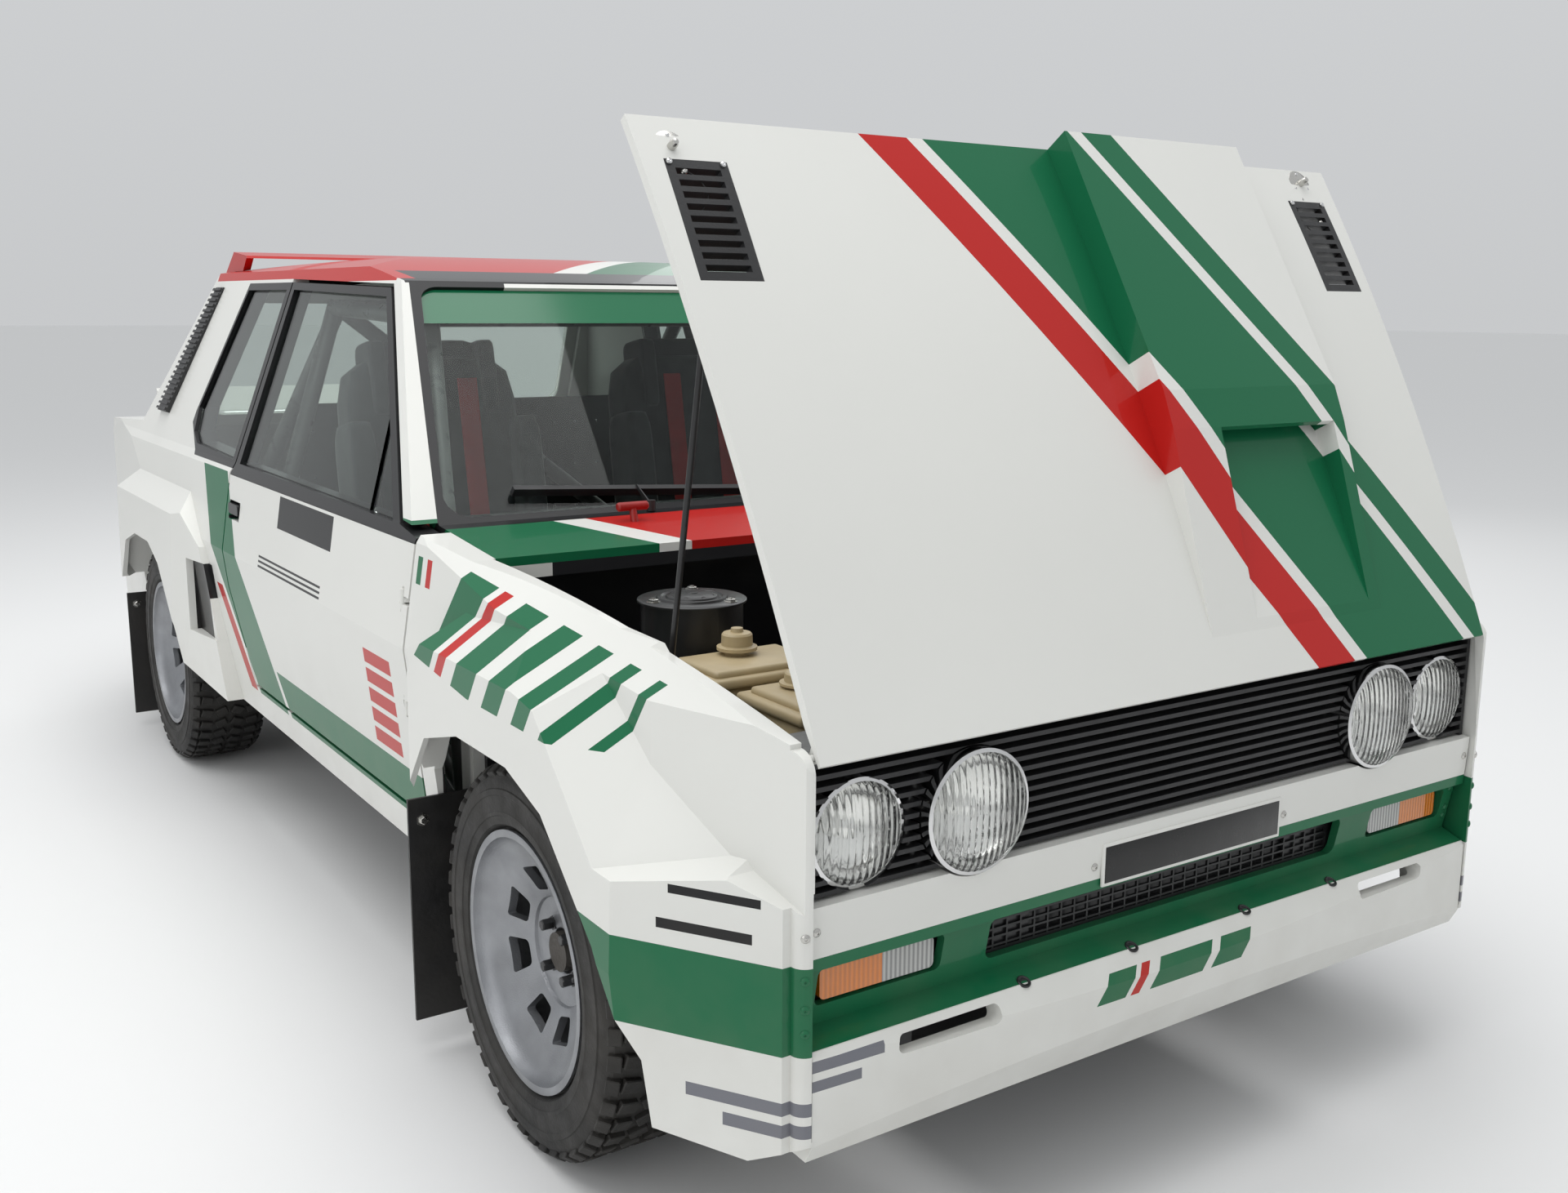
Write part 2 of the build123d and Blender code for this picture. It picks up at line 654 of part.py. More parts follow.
with BuildPart() as wing:
    add(outer_body)
    add(front_flare)
    with BuildSketch(WING_FACET):
        Rectangle(3 * WIDTH, 3 * LENGTH)
    extrude(amount=500, mode=Mode.SUBTRACT)
    add(wing_inside.part, mode=Mode.SUBTRACT)
    with BuildSketch(Plane.XY):
        Polygon(*WING_EDGE, align=None)
    extrude(amount=BELT_Z + 40, mode=Mode.INTERSECT)
    extrude(arch_points(FRONT_AXLE, FRONT_ARCH, 0), amount=WIDTH, mode=Mode.SUBTRACT)
    add(wheel_room(FRONT_AXLE, FRONT_ARCH, 44, FRONT_ROOM_PLAN), mode=Mode.SUBTRACT)
    with BuildSketch(Plane.XY):
        with Locations((BONNET_FRONT - NOSE_ROUND, -NOSE_Y - 10 + NOSE_ROUND)):
            Rectangle(2 * NOSE_ROUND, 2 * NOSE_ROUND, align=(Align.MIN, Align.MAX))
            Circle(NOSE_ROUND, mode=Mode.SUBTRACT)
    extrude(amount=BELT_Z, mode=Mode.SUBTRACT)
    with BuildSketch(Plane.XZ):
        with Locations((BONNET_FRONT - BONNET_CORNER_ROUND, BONNET_FRONT_Z - BONNET_CORNER_ROUND)):
            Rectangle(2 * BONNET_CORNER_ROUND, 2 * BONNET_CORNER_ROUND, align=(Align.MIN, Align.MIN))
            Circle(BONNET_CORNER_ROUND, mode=Mode.SUBTRACT)
    extrude(amount=WIDTH, mode=Mode.SUBTRACT)
    with BuildSketch(Plane.XZ.offset(BONNET_FRONT_Y - 12)):
        with Locations((HINGE_X, HINGE_Z)):
            Circle(HINGE_PIN_R)
    extrude(amount=22)
both_sides(wing.part, "front_wing")

# Tail panel: rear screen frame, strip under the screen, boot aperture, lamp panel and valance
BOOT_LID_Y = TAIL_PANEL_Y - 22
BOOT_LID_FRONT = REAR_SCREEN_BASE - 62
BOOT_LID_REAR = BOOT_REAR - 4
BOOT_HINGE_X = BOOT_LID_FRONT - 14
BOOT_HINGE_Z = BOOT_FRONT_Z - 16
REAR_SCREEN_RISE = ROOF_Z - 36 - BOOT_FRONT_Z
REAR_SCREEN_RUN = ROOF_REAR - REAR_SCREEN_BASE
rear_screen_plane = Plane(
    origin=(REAR_SCREEN_BASE, 0, BOOT_FRONT_Z),
    x_dir=(0, -1, 0),
    z_dir=(-REAR_SCREEN_RISE, 0, REAR_SCREEN_RUN),
)
REAR_SCREEN_HEIGHT = hypot(REAR_SCREEN_RISE, REAR_SCREEN_RUN)
REAR_SCREEN_OUTLINE = [
    (-TAIL_PANEL_Y + 46, 30),
    (TAIL_PANEL_Y - 46, 30),
    (GUTTER_Y - 82, REAR_SCREEN_HEIGHT - 34),
    (-GUTTER_Y + 82, REAR_SCREEN_HEIGHT - 34),
]
with BuildPart() as tail_panel:
    add(outer_body)
    add(inner_roof, mode=Mode.SUBTRACT)
    with BuildSketch(Plane.XY):
        half = [
            (ROOF_REAR, GUTTER_Y - 44 - PANEL_GAP),
            (REAR_SCREEN_BASE, TAIL_PANEL_Y - PANEL_GAP),
            (TAIL, TAIL_PANEL_Y - PANEL_GAP),
        ]
        Polygon(*half, *[(x, -y) for x, y in reversed(half)], align=None)
    extrude(amount=2 * ROOF_Z, mode=Mode.INTERSECT)
    with BuildSketch(rear_screen_plane):
        Polygon(*REAR_SCREEN_OUTLINE, align=None)
        fillet(vertices(), 60)
    extrude(amount=FRAME_DEPTH * 2, both=True, mode=Mode.SUBTRACT)
    with BuildSketch(Plane.XY.offset(BOOT_FLOOR_Z + 200)):
        with Locations(((BOOT_LID_FRONT + BOOT_LID_REAR) / 2, 0)):
            Rectangle(BOOT_LID_FRONT - BOOT_LID_REAR + 2 * SHUT_GAP, 2 * BOOT_LID_Y + 2 * SHUT_GAP)
    extrude(amount=400, mode=Mode.SUBTRACT)
    for side in (-1, 1):
        pin_inner = (BOOT_HINGE_X, side * (BOOT_LID_Y - 14), BOOT_HINGE_Z)
        pin_outer = (BOOT_HINGE_X, side * (BOOT_LID_Y + 16), BOOT_HINGE_Z)
        add(bar(pin_inner, pin_outer, HINGE_PIN_R))
keep(tail_panel.part, "tail_panel")

# Boot lid with the raised spoiler lip along its rear edge
with BuildPart() as boot_lid:
    add(outer_body)
    add(inner_roof, mode=Mode.SUBTRACT)
    with BuildSketch(Plane.XY.offset(BOOT_FLOOR_Z + 200)):
        with Locations(((BOOT_LID_FRONT + BOOT_LID_REAR) / 2, 0)):
            Rectangle(BOOT_LID_FRONT - BOOT_LID_REAR, 2 * BOOT_LID_Y)
    extrude(amount=400, mode=Mode.INTERSECT)
    with BuildSketch(Plane.XZ):
        Polygon(
            (BOOT_LID_REAR + 10, BOOT_REAR_Z - 6),
            (BOOT_LID_REAR + 200, BOOT_REAR_Z - 4),
            (BOOT_LID_REAR + 60, BOOT_REAR_Z + 60),
            (BOOT_LID_REAR - 6, BOOT_REAR_Z + 92),
            (BOOT_LID_REAR - 6, BOOT_REAR_Z + 78),
            align=None,
        )
    extrude(amount=BOOT_LID_Y - 10, both=True)
    for side in (-1, 1):
        bore_inner = (BOOT_HINGE_X, side * (BOOT_LID_Y - 16), BOOT_HINGE_Z)
        bore_outer = (BOOT_HINGE_X, side * (BOOT_LID_Y + 20), BOOT_HINGE_Z)
        add(bar(bore_inner, bore_outer, HINGE_PIN_R + SPINDLE_FIT), mode=Mode.SUBTRACT)
keep(boot_lid.part, "boot_lid")

# Bonnet with its turned edge and the bulge with a forward mouth on the left half
BULGE_RIGHT_Y = 34.0
BULGE_LEFT_Y = 438.0
BULGE_HEIGHT = 46.0
CHANNEL_RIGHT_Y = 139.0
CHANNEL_LEFT_Y = 411.0
MOUTH_X = BONNET_FRONT - 372
BONNET_PITCH = (BONNET_REAR_Z - BONNET_FRONT_Z) / (BONNET_FRONT - BONNET_REAR)
BONNET_OUTLINE = [
    (BONNET_REAR, BONNET_FRONT_Y + 31),
    (BONNET_FRONT + 5, BONNET_FRONT_Y - 1),
]
with BuildPart() as bonnet:
    add(outer_body)
    add(inner_bonnet, mode=Mode.SUBTRACT)
    with BuildSketch(Plane.XY):
        Polygon(*BONNET_OUTLINE, *[(x, -y) for x, y in reversed(BONNET_OUTLINE)], align=None)
    extrude(amount=2 * ROOF_Z, mode=Mode.INTERSECT)
    with BuildSketch(Plane.XZ):
        Polygon(
            (BONNET_REAR, BONNET_REAR_Z - 60),
            (BONNET_FRONT, BONNET_FRONT_Z - 6),
            (BONNET_FRONT + 1, BONNET_FRONT_Z + 60),
            (BONNET_REAR, BONNET_REAR_Z + 60),
            align=None,
        )
    extrude(amount=WIDTH, both=True, mode=Mode.INTERSECT)
    with BuildSketch(Plane.XZ.offset(-BULGE_RIGHT_Y)):
        Polygon(
            (BONNET_REAR + 1, BONNET_REAR_Z - 12),
            (BONNET_REAR + 1, BONNET_REAR_Z + BULGE_HEIGHT),
            (MOUTH_X - 60, BONNET_REAR_Z - BONNET_PITCH * 460 + BULGE_HEIGHT + 22),
            (MOUTH_X, BONNET_REAR_Z - BONNET_PITCH * 520 + BULGE_HEIGHT + 16),
            (BONNET_FRONT - 30, BONNET_FRONT_Z + 2),
            (MOUTH_X, BONNET_REAR_Z - BONNET_PITCH * 520 + 10),
            align=None,
        )
    extrude(amount=-(BULGE_LEFT_Y - BULGE_RIGHT_Y))
    with BuildSketch(Plane.XZ.offset(-CHANNEL_RIGHT_Y)):
        Polygon(
            (MOUTH_X - 90, BONNET_REAR_Z - BONNET_PITCH * 430 + 22),
            (MOUTH_X - 90, BONNET_REAR_Z - BONNET_PITCH * 430 + BULGE_HEIGHT + 6),
            (MOUTH_X, BONNET_REAR_Z - BONNET_PITCH * 520 + BULGE_HEIGHT + 4),
            (MOUTH_X + 2, BONNET_REAR_Z + BULGE_HEIGHT),
            (BONNET_FRONT, BONNET_REAR_Z + BULGE_HEIGHT),
            (BONNET_FRONT - 10, BONNET_FRONT_Z + 7),
            (MOUTH_X, BONNET_REAR_Z - BONNET_PITCH * 520 + 22),
            align=None,
        )
    extrude(amount=-(CHANNEL_LEFT_Y - CHANNEL_RIGHT_Y), mode=Mode.SUBTRACT)
VENT_FRONT = BONNET_FRONT - 635
VENT_LENGTH = 185.0
VENT_LEFT_Y = 586.0
VENT_WIDTH = 98.0
VENT_SLOTS = 9


def vent_box(grow):
    """Two upright boxes through the bonnet where the vents sit."""
    with BuildPart() as boxes:
        with BuildSketch(Plane.XY.offset(BONNET_FRONT_Z)):
            for side in (-1, 1):
                with Locations((VENT_FRONT - VENT_LENGTH / 2, side * (VENT_LEFT_Y + VENT_WIDTH / 2))):
                    Rectangle(VENT_LENGTH + grow, VENT_WIDTH + grow)
        extrude(amount=300)
    return boxes.part


def opened(closed_part):
    """The bonnet and what it carries, turned up about its front hinge as it stands in use."""
    return closed_part.rotate(Axis((HINGE_X, 0, HINGE_Z), (0, 1, 0)), BONNET_OPEN)


with BuildPart() as bonnet_shut:
    add(bonnet.part)
    add(vent_box(0), mode=Mode.SUBTRACT)
    for side in (-1, 1):
        with BuildSketch(Plane.XZ.offset(-side * (BONNET_FRONT_Y - 2))):
            Polygon(
                (HINGE_X - 7, HINGE_Z - 6),
                (HINGE_X + 7, HINGE_Z - 6),
                (HINGE_X + 10, HINGE_Z + 8),
                (HINGE_X - 16, HINGE_Z + 8),
                align=None,
            )
            with Locations((HINGE_X, HINGE_Z)):
                Circle(HINGE_PIN_R + SPINDLE_FIT, mode=Mode.SUBTRACT)
        extrude(amount=side * 12)
keep(opened(bonnet_shut.part), "bonnet")

# Vents in the bonnet, a slotted panel near each rear corner
with BuildPart() as vents:
    add(outer_body)
    add(inner_bonnet, mode=Mode.SUBTRACT)
    add(vent_box(-2 * PANEL_GAP), mode=Mode.INTERSECT)
    with BuildSketch(Plane.XY.offset(BONNET_FRONT_Z)):
        with Locations((VENT_FRONT - VENT_LENGTH / 2, 0)):
            with GridLocations(VENT_LENGTH / (VENT_SLOTS + 1), 2 * VENT_LEFT_Y + VENT_WIDTH, VENT_SLOTS, 2):
                Rectangle(10, VENT_WIDTH - 28)
    extrude(amount=300, mode=Mode.SUBTRACT)
keep(opened(vents.part), "bonnet_vents")

# Bumper panel with its recessed band, shelf and lower lip, across the nose between the wings
GRILLE_BACK = BONNET_FRONT - 62
BUMPER_SKIN = 14.0
BUMPER_CORNER_X = BONNET_FRONT - 2
BUMPER_INNER_X = BONNET_FRONT - 200
BUMPER_TOP_Z = 589.0
BAND_Z = 503.0
SHELF_Z = 400.0
BUMPER_FACE = [
    (BONNET_FRONT - 9, BUMPER_TOP_Z),
    (BONNET_FRONT - 14, BAND_Z),
    (BONNET_FRONT - 30, BAND_Z - 8),
    (BONNET_FRONT - 46, SHELF_Z + 14),
    (BONNET_FRONT - 6, SHELF_Z),
    (BONNET_FRONT + 15, SHELF_Z - 36),
    (BONNET_FRONT + 15, LIP_Z + 60),
    (BONNET_FRONT - 16, LIP_Z),
]
INDICATOR_Y = 564.0
INDICATOR_Z = 468.0
MESH_Y = 380.0
MESH_Z = 464.0
DUCT_Y = 476.0
DUCT_Z = 377.0
LAMP_Z = 666.0
INNER_LAMP_Y = 429.0
INNER_LAMP_R = 86.0
with BuildPart() as bumper:
    with BuildSketch(Plane.XZ):
        Polygon(*BUMPER_FACE, (GRILLE_BACK, LIP_Z), (GRILLE_BACK, BUMPER_TOP_Z), align=None)
    extrude(amount=BUMPER_Y - PANEL_GAP, both=True)
    with BuildSketch(Plane.XY):
        with BuildLine():
            ThreePointArc((BUMPER_CORNER_X, -BUMPER_Y), (NOSE, 0), (BUMPER_CORNER_X, BUMPER_Y))
            Polyline(
                (BUMPER_CORNER_X, BUMPER_Y),
                (BUMPER_INNER_X, BUMPER_Y),
                (BUMPER_INNER_X, -BUMPER_Y),
                (BUMPER_CORNER_X, -BUMPER_Y),
            )
        make_face()
    extrude(amount=SHELF_Z + 4, mode=Mode.INTERSECT)
    with BuildSketch(Plane.XZ):
        Polygon(
            *BUMPER_FACE[:5],
            (GRILLE_BACK, SHELF_Z),
            (GRILLE_BACK, BUMPER_TOP_Z),
            align=None,
        )
    extrude(amount=BUMPER_Y - PANEL_GAP, both=True)
    with BuildSketch(Plane.XZ):
        Polygon(
            (BONNET_FRONT - 10 - BUMPER_SKIN, BUMPER_TOP_Z - 10),
            *[(x - BUMPER_SKIN, z) for x, z in BUMPER_FACE[1:4]],
            (BONNET_FRONT - 44, SHELF_Z - 6),
            *[(x - BUMPER_SKIN - 17, z) for x, z in BUMPER_FACE[5:]],
            (BONNET_FRONT - 60, LIP_Z - 20),
            (BONNET_FRONT - 200, LIP_Z - 20),
            (BONNET_FRONT - 200, BUMPER_TOP_Z - 10),
            align=None,
        )
    extrude(amount=WIDTH, both=True, mode=Mode.SUBTRACT)
    with BuildSketch(Plane.YZ.offset(BONNET_FRONT - 120)):
        with Locations((0, MESH_Z)):
            RectangleRounded(2 * MESH_Y, 64, 14)
        for side in (-1, 1):
            with Locations((side * INDICATOR_Y, INDICATOR_Z)):
                RectangleRounded(206, 54, 10)
            with Locations((side * DUCT_Y, DUCT_Z)):
                RectangleRounded(172, 26, 10)
            with Locations((side * INNER_LAMP_Y, LAMP_Z)):
                Circle(INNER_LAMP_R + 3)
    extrude(amount=200, mode=Mode.SUBTRACT)
keep(bumper.part, "bumper_panel")

# Grille: frame, horizontal bars and round cut-outs for the four lamps, with the lower mesh bars apart
GRILLE_FACE = BONNET_FRONT - 24
GRILLE_BARS = 12
OUTER_LAMP_Y = 611.0
OUTER_LAMP_R = 73.0
GRILLE_LOW = BUMPER_TOP_Z + PANEL_GAP
GRILLE_HIGH = BONNET_FRONT_Z - 18
GRILLE_Y = BONNET_FRONT_Y + 4.5
BAR_PITCH = (GRILLE_HIGH - GRILLE_LOW) / GRILLE_BARS
with BuildPart() as grille:
    with BuildSketch(Plane.YZ.offset(GRILLE_BACK)):
        with Locations((0, (GRILLE_LOW + GRILLE_HIGH) / 2)):
            Rectangle(2 * GRILLE_Y, GRILLE_HIGH - GRILLE_LOW)
    extrude(amount=10)
    with BuildSketch(Plane.YZ.offset(GRILLE_BACK + 10)):
        for row in range(GRILLE_BARS):
            with Locations((0, GRILLE_LOW + BAR_PITCH * (row + 0.5))):
                Rectangle(2 * GRILLE_Y, BAR_PITCH * 0.42)
        for side in (-1, 1):
            with Locations((side * (GRILLE_Y - 4), (GRILLE_LOW + GRILLE_HIGH) / 2)):
                Rectangle(8, GRILLE_HIGH - GRILLE_LOW)
    extrude(amount=GRILLE_FACE - GRILLE_BACK - 10)
    with BuildSketch(Plane.YZ.offset(GRILLE_BACK)):
        for side in (-1, 1):
            with Locations((side * OUTER_LAMP_Y, LAMP_Z)):
                Circle(OUTER_LAMP_R + PANEL_GAP)
            with Locations((side * INNER_LAMP_Y, LAMP_Z)):
                Circle(INNER_LAMP_R + PANEL_GAP)
    extrude(amount=100, mode=Mode.SUBTRACT)
keep(grille.part, "grille")

with BuildPart() as lower_grille:
    with BuildSketch(Plane.YZ.offset(GRILLE_BACK)):
        with Locations((0, MESH_Z)):
            Rectangle(2 * MESH_Y + 20, 70)
            Rectangle(2 * MESH_Y - 6, 56, mode=Mode.SUBTRACT)
        with Locations((0, MESH_Z)):
            with GridLocations(0, 12, 1, 5):
                Rectangle(2 * MESH_Y - 8, 3)
            with GridLocations(26, 0, 28, 1):
                Rectangle(3, 58)
    extrude(amount=4)
keep(lower_grille.part, "lower_grille")

# Headlamps: domed glass ahead of a round bowl, two on each side
LAMP_DOME = 16.0
LAMPS = [(OUTER_LAMP_Y, OUTER_LAMP_R, 12.0), (INNER_LAMP_Y, INNER_LAMP_R, 34.0)]
with BuildPart() as headlamps:
    for lamp_y, lamp_r, proud in LAMPS:
        for side in (-1, 1):
            axis_plane = Plane(origin=(GRILLE_FACE, side * lamp_y, LAMP_Z), x_dir=(1, 0, 0), z_dir=(0, -1, 0))
            with BuildSketch(axis_plane):
                with BuildLine():
                    dome_r = (lamp_r**2 + LAMP_DOME**2) / (2 * LAMP_DOME)
                    half_turn = asin(lamp_r / dome_r) / 2
                    crown = (proud - dome_r * (1 - cos(half_turn)), dome_r * sin(half_turn))
                    Polyline(
                        (proud, 0),
                        (-60, 0),
                        (-60, lamp_r * 0.5),
                        (-30, lamp_r),
                        (proud - LAMP_DOME, lamp_r),
                    )
                    ThreePointArc((proud - LAMP_DOME, lamp_r), crown, (proud, 0))
                make_face()
            revolve(axis=Axis((0, side * lamp_y, LAMP_Z), (1, 0, 0)))
keep(headlamps.part, "headlamps")

# Front indicators in the bumper panel and tail lamps in the tail panel
with BuildPart() as small_lamps:
    for side in (-1, 1):
        with BuildSketch(Plane.YZ.offset(GRILLE_BACK)):
            with Locations((side * INDICATOR_Y, INDICATOR_Z)):
                RectangleRounded(186, 44, 8)
        extrude(amount=20)
keep(small_lamps.part, "indicator_lamps")

# Screen glass and quarter panes, all a glass thickness under the body surface
with BuildPart() as quarter_glass:
    add(glass_outer)
    add(glass_inner, mode=Mode.SUBTRACT)
    with BuildSketch(Plane.XZ):
        Polygon(*QUARTER_WINDOW, align=None)
        offset(amount=-PANEL_GAP)
    extrude(amount=WIDTH, mode=Mode.INTERSECT)
with BuildPart() as cabin_glass:
    add(quarter_glass.part)
    add(mirror(quarter_glass.part, about=Plane.XZ))
    for glass_plane, glass_outline, corner in (
        (screen_plane, SCREEN_OUTLINE, 45),
        (rear_screen_plane, REAR_SCREEN_OUTLINE, 60),
    ):
        with BuildSketch(glass_plane.offset(-8)):
            Polygon(*glass_outline, align=None)
            fillet(vertices(), corner)
            offset(amount=-PANEL_GAP)
        extrude(amount=-GLASS_DEPTH)
keep(cabin_glass.part, "cabin_glass")

# Floor pan with tunnel, raised boot floor and rear wheel housings
FLOOR_FRONT = BULKHEAD_X - BULKHEAD_DEPTH / 2
FLOOR_Y = 714.0
BOOT_FLOOR_Y = 540.0
KICK_UP = REAR_AXLE + 420
with BuildPart() as floor_pan:
    with BuildSketch(Plane.XY.offset(FLOOR_Z)):
        with Locations((FLOOR_FRONT + BULKHEAD_DEPTH, 0)):
            Rectangle(FLOOR_FRONT + BULKHEAD_DEPTH - KICK_UP, 2 * FLOOR_Y, align=(Align.MAX, Align.CENTER))
        with Locations((FLOOR_FRONT + BULKHEAD_DEPTH, 0)):
            Rectangle(
                FLOOR_FRONT + BULKHEAD_DEPTH - KICK_UP,
                2 * TUNNEL_Y,
                align=(Align.MAX, Align.CENTER),
                mode=Mode.SUBTRACT,
            )
    extrude(amount=FLOOR_DEPTH)
    with BuildSketch(Plane.YZ.offset(KICK_UP)):
        with BuildLine():
            Polyline((-TUNNEL_Y, FLOOR_Z), (-TUNNEL_Y, TUNNEL_Z - 60))
            ThreePointArc((-TUNNEL_Y, TUNNEL_Z - 60), (0, TUNNEL_Z), (TUNNEL_Y, TUNNEL_Z - 60))
            Polyline((TUNNEL_Y, TUNNEL_Z - 60), (TUNNEL_Y, FLOOR_Z), (TUNNEL_Y - 12, FLOOR_Z))
            Polyline((TUNNEL_Y - 12, FLOOR_Z), (TUNNEL_Y - 12, TUNNEL_Z - 66))
            ThreePointArc((TUNNEL_Y - 12, TUNNEL_Z - 66), (0, TUNNEL_Z - 12), (12 - TUNNEL_Y, TUNNEL_Z - 66))
            Polyline((12 - TUNNEL_Y, TUNNEL_Z - 66), (12 - TUNNEL_Y, FLOOR_Z), (-TUNNEL_Y, FLOOR_Z))
        make_face()
    extrude(amount=BULKHEAD_X - BULKHEAD_DEPTH / 2 - KICK_UP)
    with BuildSketch(Plane.XZ):
        Polygon(
            (KICK_UP, FLOOR_Z),
            (KICK_UP, FLOOR_Z + FLOOR_DEPTH),
            (KICK_UP - 60, BOOT_FLOOR_Z + FLOOR_DEPTH),
            (BODY_REAR + 40, BOOT_FLOOR_Z + FLOOR_DEPTH),
            (BODY_REAR + 40, BOOT_FLOOR_Z),
            (KICK_UP - 60 - FLOOR_DEPTH, BOOT_FLOOR_Z),
            (KICK_UP - FLOOR_DEPTH, FLOOR_Z),
            align=None,
        )
    extrude(amount=BOOT_FLOOR_Y, both=True)
    for side in (-1, 1):
        with BuildSketch(Plane.XZ.offset(-side * BOOT_FLOOR_Y)):
            add(arch_points(REAR_AXLE, REAR_ARCH, 36))
            add(arch_points(REAR_AXLE, REAR_ARCH, 25), mode=Mode.SUBTRACT)
            with Locations((REAR_AXLE, 0)):
                Rectangle(1200, 2 * FLOOR_Z + 40, mode=Mode.SUBTRACT)
        extrude(amount=-side * (FLOOR_Y - BOOT_FLOOR_Y))
        with BuildSketch(Plane.XZ.offset(-side * BOOT_FLOOR_Y)):
            add(arch_points(REAR_AXLE, REAR_ARCH, 36))
            with Locations((REAR_AXLE, 0)):
                Rectangle(1200, 2 * FLOOR_Z + 140, mode=Mode.SUBTRACT)
        extrude(amount=side * 10)
    with BuildSketch(Plane.YZ.offset(KICK_UP - 100)):
        with Locations((0, FLOOR_Z - 10)):
            Rectangle(2 * TUNNEL_Y - 24, TUNNEL_Z - 60 - FLOOR_Z, align=(Align.CENTER, Align.MIN))
    extrude(amount=100, mode=Mode.SUBTRACT)
keep(floor_pan.part, "floor_pan")

# Inner wings: wheel housing, engine bay wall and strut tower on each side
BAY_WALL_Y = 432.0
BAY_WALL_DEPTH = 10.0
HOUSING_Y = 694.0
SHELF_TOP_Z = 700.0
FRONT_PANEL_DEPTH = 8.0
FRONT_PANEL_X = GRILLE_BACK - FRONT_PANEL_DEPTH - PANEL_GAP
TOWER_FOOT_Z = 704.0
PROP_X = FRONT_AXLE + 255
PROP_Y = -685.0
PROP_Z = 800.0
PROP_PIN_R = 4.0
PROP_R = 5.0
PROP_LENGTH = 500.0
PROP_LEAN = 78.5
PROP_WAY = (cos(radians(PROP_LEAN)), 0, sin(radians(PROP_LEAN)))
with BuildPart() as inner_wings:
    for side in (-1, 1):
        with BuildSketch(Plane.XZ.offset(-side * BAY_WALL_Y)):
            add(arch_points(FRONT_AXLE, FRONT_ARCH, 58))
            add(arch_points(FRONT_AXLE, FRONT_ARCH, 46), mode=Mode.SUBTRACT)
            with Locations((FRONT_AXLE, 0)):
                Rectangle(1400, 2 * SILL_Z + 20, mode=Mode.SUBTRACT)
        extrude(amount=-side * (HOUSING_Y - BAY_WALL_Y))
        with BuildSketch(Plane.XZ.offset(-side * BAY_WALL_Y)):
            Polygon(
                (BULKHEAD_X + BULKHEAD_DEPTH / 2 + PANEL_GAP, SILL_Z + 10),
                (BULKHEAD_X + BULKHEAD_DEPTH / 2 + PANEL_GAP, SHELF_TOP_Z),
                (BONNET_FRONT - 180, SHELF_TOP_Z),
                (BONNET_FRONT - 150, 560),
                (FRONT_PANEL_X - PANEL_GAP, 560),
                (FRONT_PANEL_X - PANEL_GAP, SILL_Z + 40),
                (BONNET_FRONT - 220, SILL_Z + 10),
                align=None,
            )
        extrude(amount=side * BAY_WALL_DEPTH)
        with BuildSketch(Plane.XY.offset(SHELF_TOP_Z - 6)):
            with Locations((FRONT_AXLE + 100, side * BAY_WALL_Y)):
                outward = Align.MIN if side > 0 else Align.MAX
                Rectangle(350, HOUSING_Y - 10 - BAY_WALL_Y, align=(Align.MIN, outward))
        extrude(amount=6)
        with BuildSketch(Plane.XY.offset(TOWER_FOOT_Z - 4)):
            with Locations((FRONT_AXLE, side * STRUT_TOP_Y)):
                Circle(TOWER_RADIUS)
        extrude(amount=STRUT_TOP_Z - TOWER_FOOT_Z + 10)
        with BuildSketch(Plane.XY.offset(SILL_Z + 300)):
            with Locations((FRONT_AXLE, side * STRUT_TOP_Y)):
                Circle(TOWER_RADIUS - 10)
        extrude(amount=STRUT_TOP_Z - SILL_Z - 300, mode=Mode.SUBTRACT)
        axis_point = on_kingpin if side < 0 else on_left_kingpin
        rod_hole = bar(axis_point(STRUT_TOP_Z - 30), axis_point(STRUT_TOP_Z + 30), STRUT_ROD_R + SPINDLE_FIT)
        add(rod_hole, mode=Mode.SUBTRACT)
    with BuildSketch(Plane.XY.offset(SHELF_TOP_Z - 4)):
        with Locations((PROP_X, PROP_Y + 14)):
            Rectangle(24, 8)
    extrude(amount=PROP_Z + 12 - SHELF_TOP_Z + 4)
    with BuildSketch(Plane.XZ.offset(-PROP_Y - 14)):
        with Locations((PROP_X, PROP_Z)):
            Circle(PROP_PIN_R)
    extrude(amount=20)
keep(inner_wings.part, "inner_wings")

# Bonnet stay, an eye on a pin at its foot and a rod with a hooked tip
with BuildPart() as prop:
    with BuildSketch(Plane.XZ.offset(-PROP_Y - 5)):
        with Locations((PROP_X, PROP_Z)):
            Circle(10)
            Circle(PROP_PIN_R + SPINDLE_FIT, mode=Mode.SUBTRACT)
    extrude(amount=10)
    rod_foot = Vector(PROP_X, PROP_Y, PROP_Z) + Vector(*PROP_WAY) * 8
    with BuildSketch(Plane(origin=rod_foot, x_dir=(0, 1, 0), z_dir=PROP_WAY)):
        Circle(PROP_R - 0.5)
    extrude(amount=PROP_LENGTH - 8)
keep(prop.part, "bonnet_prop")

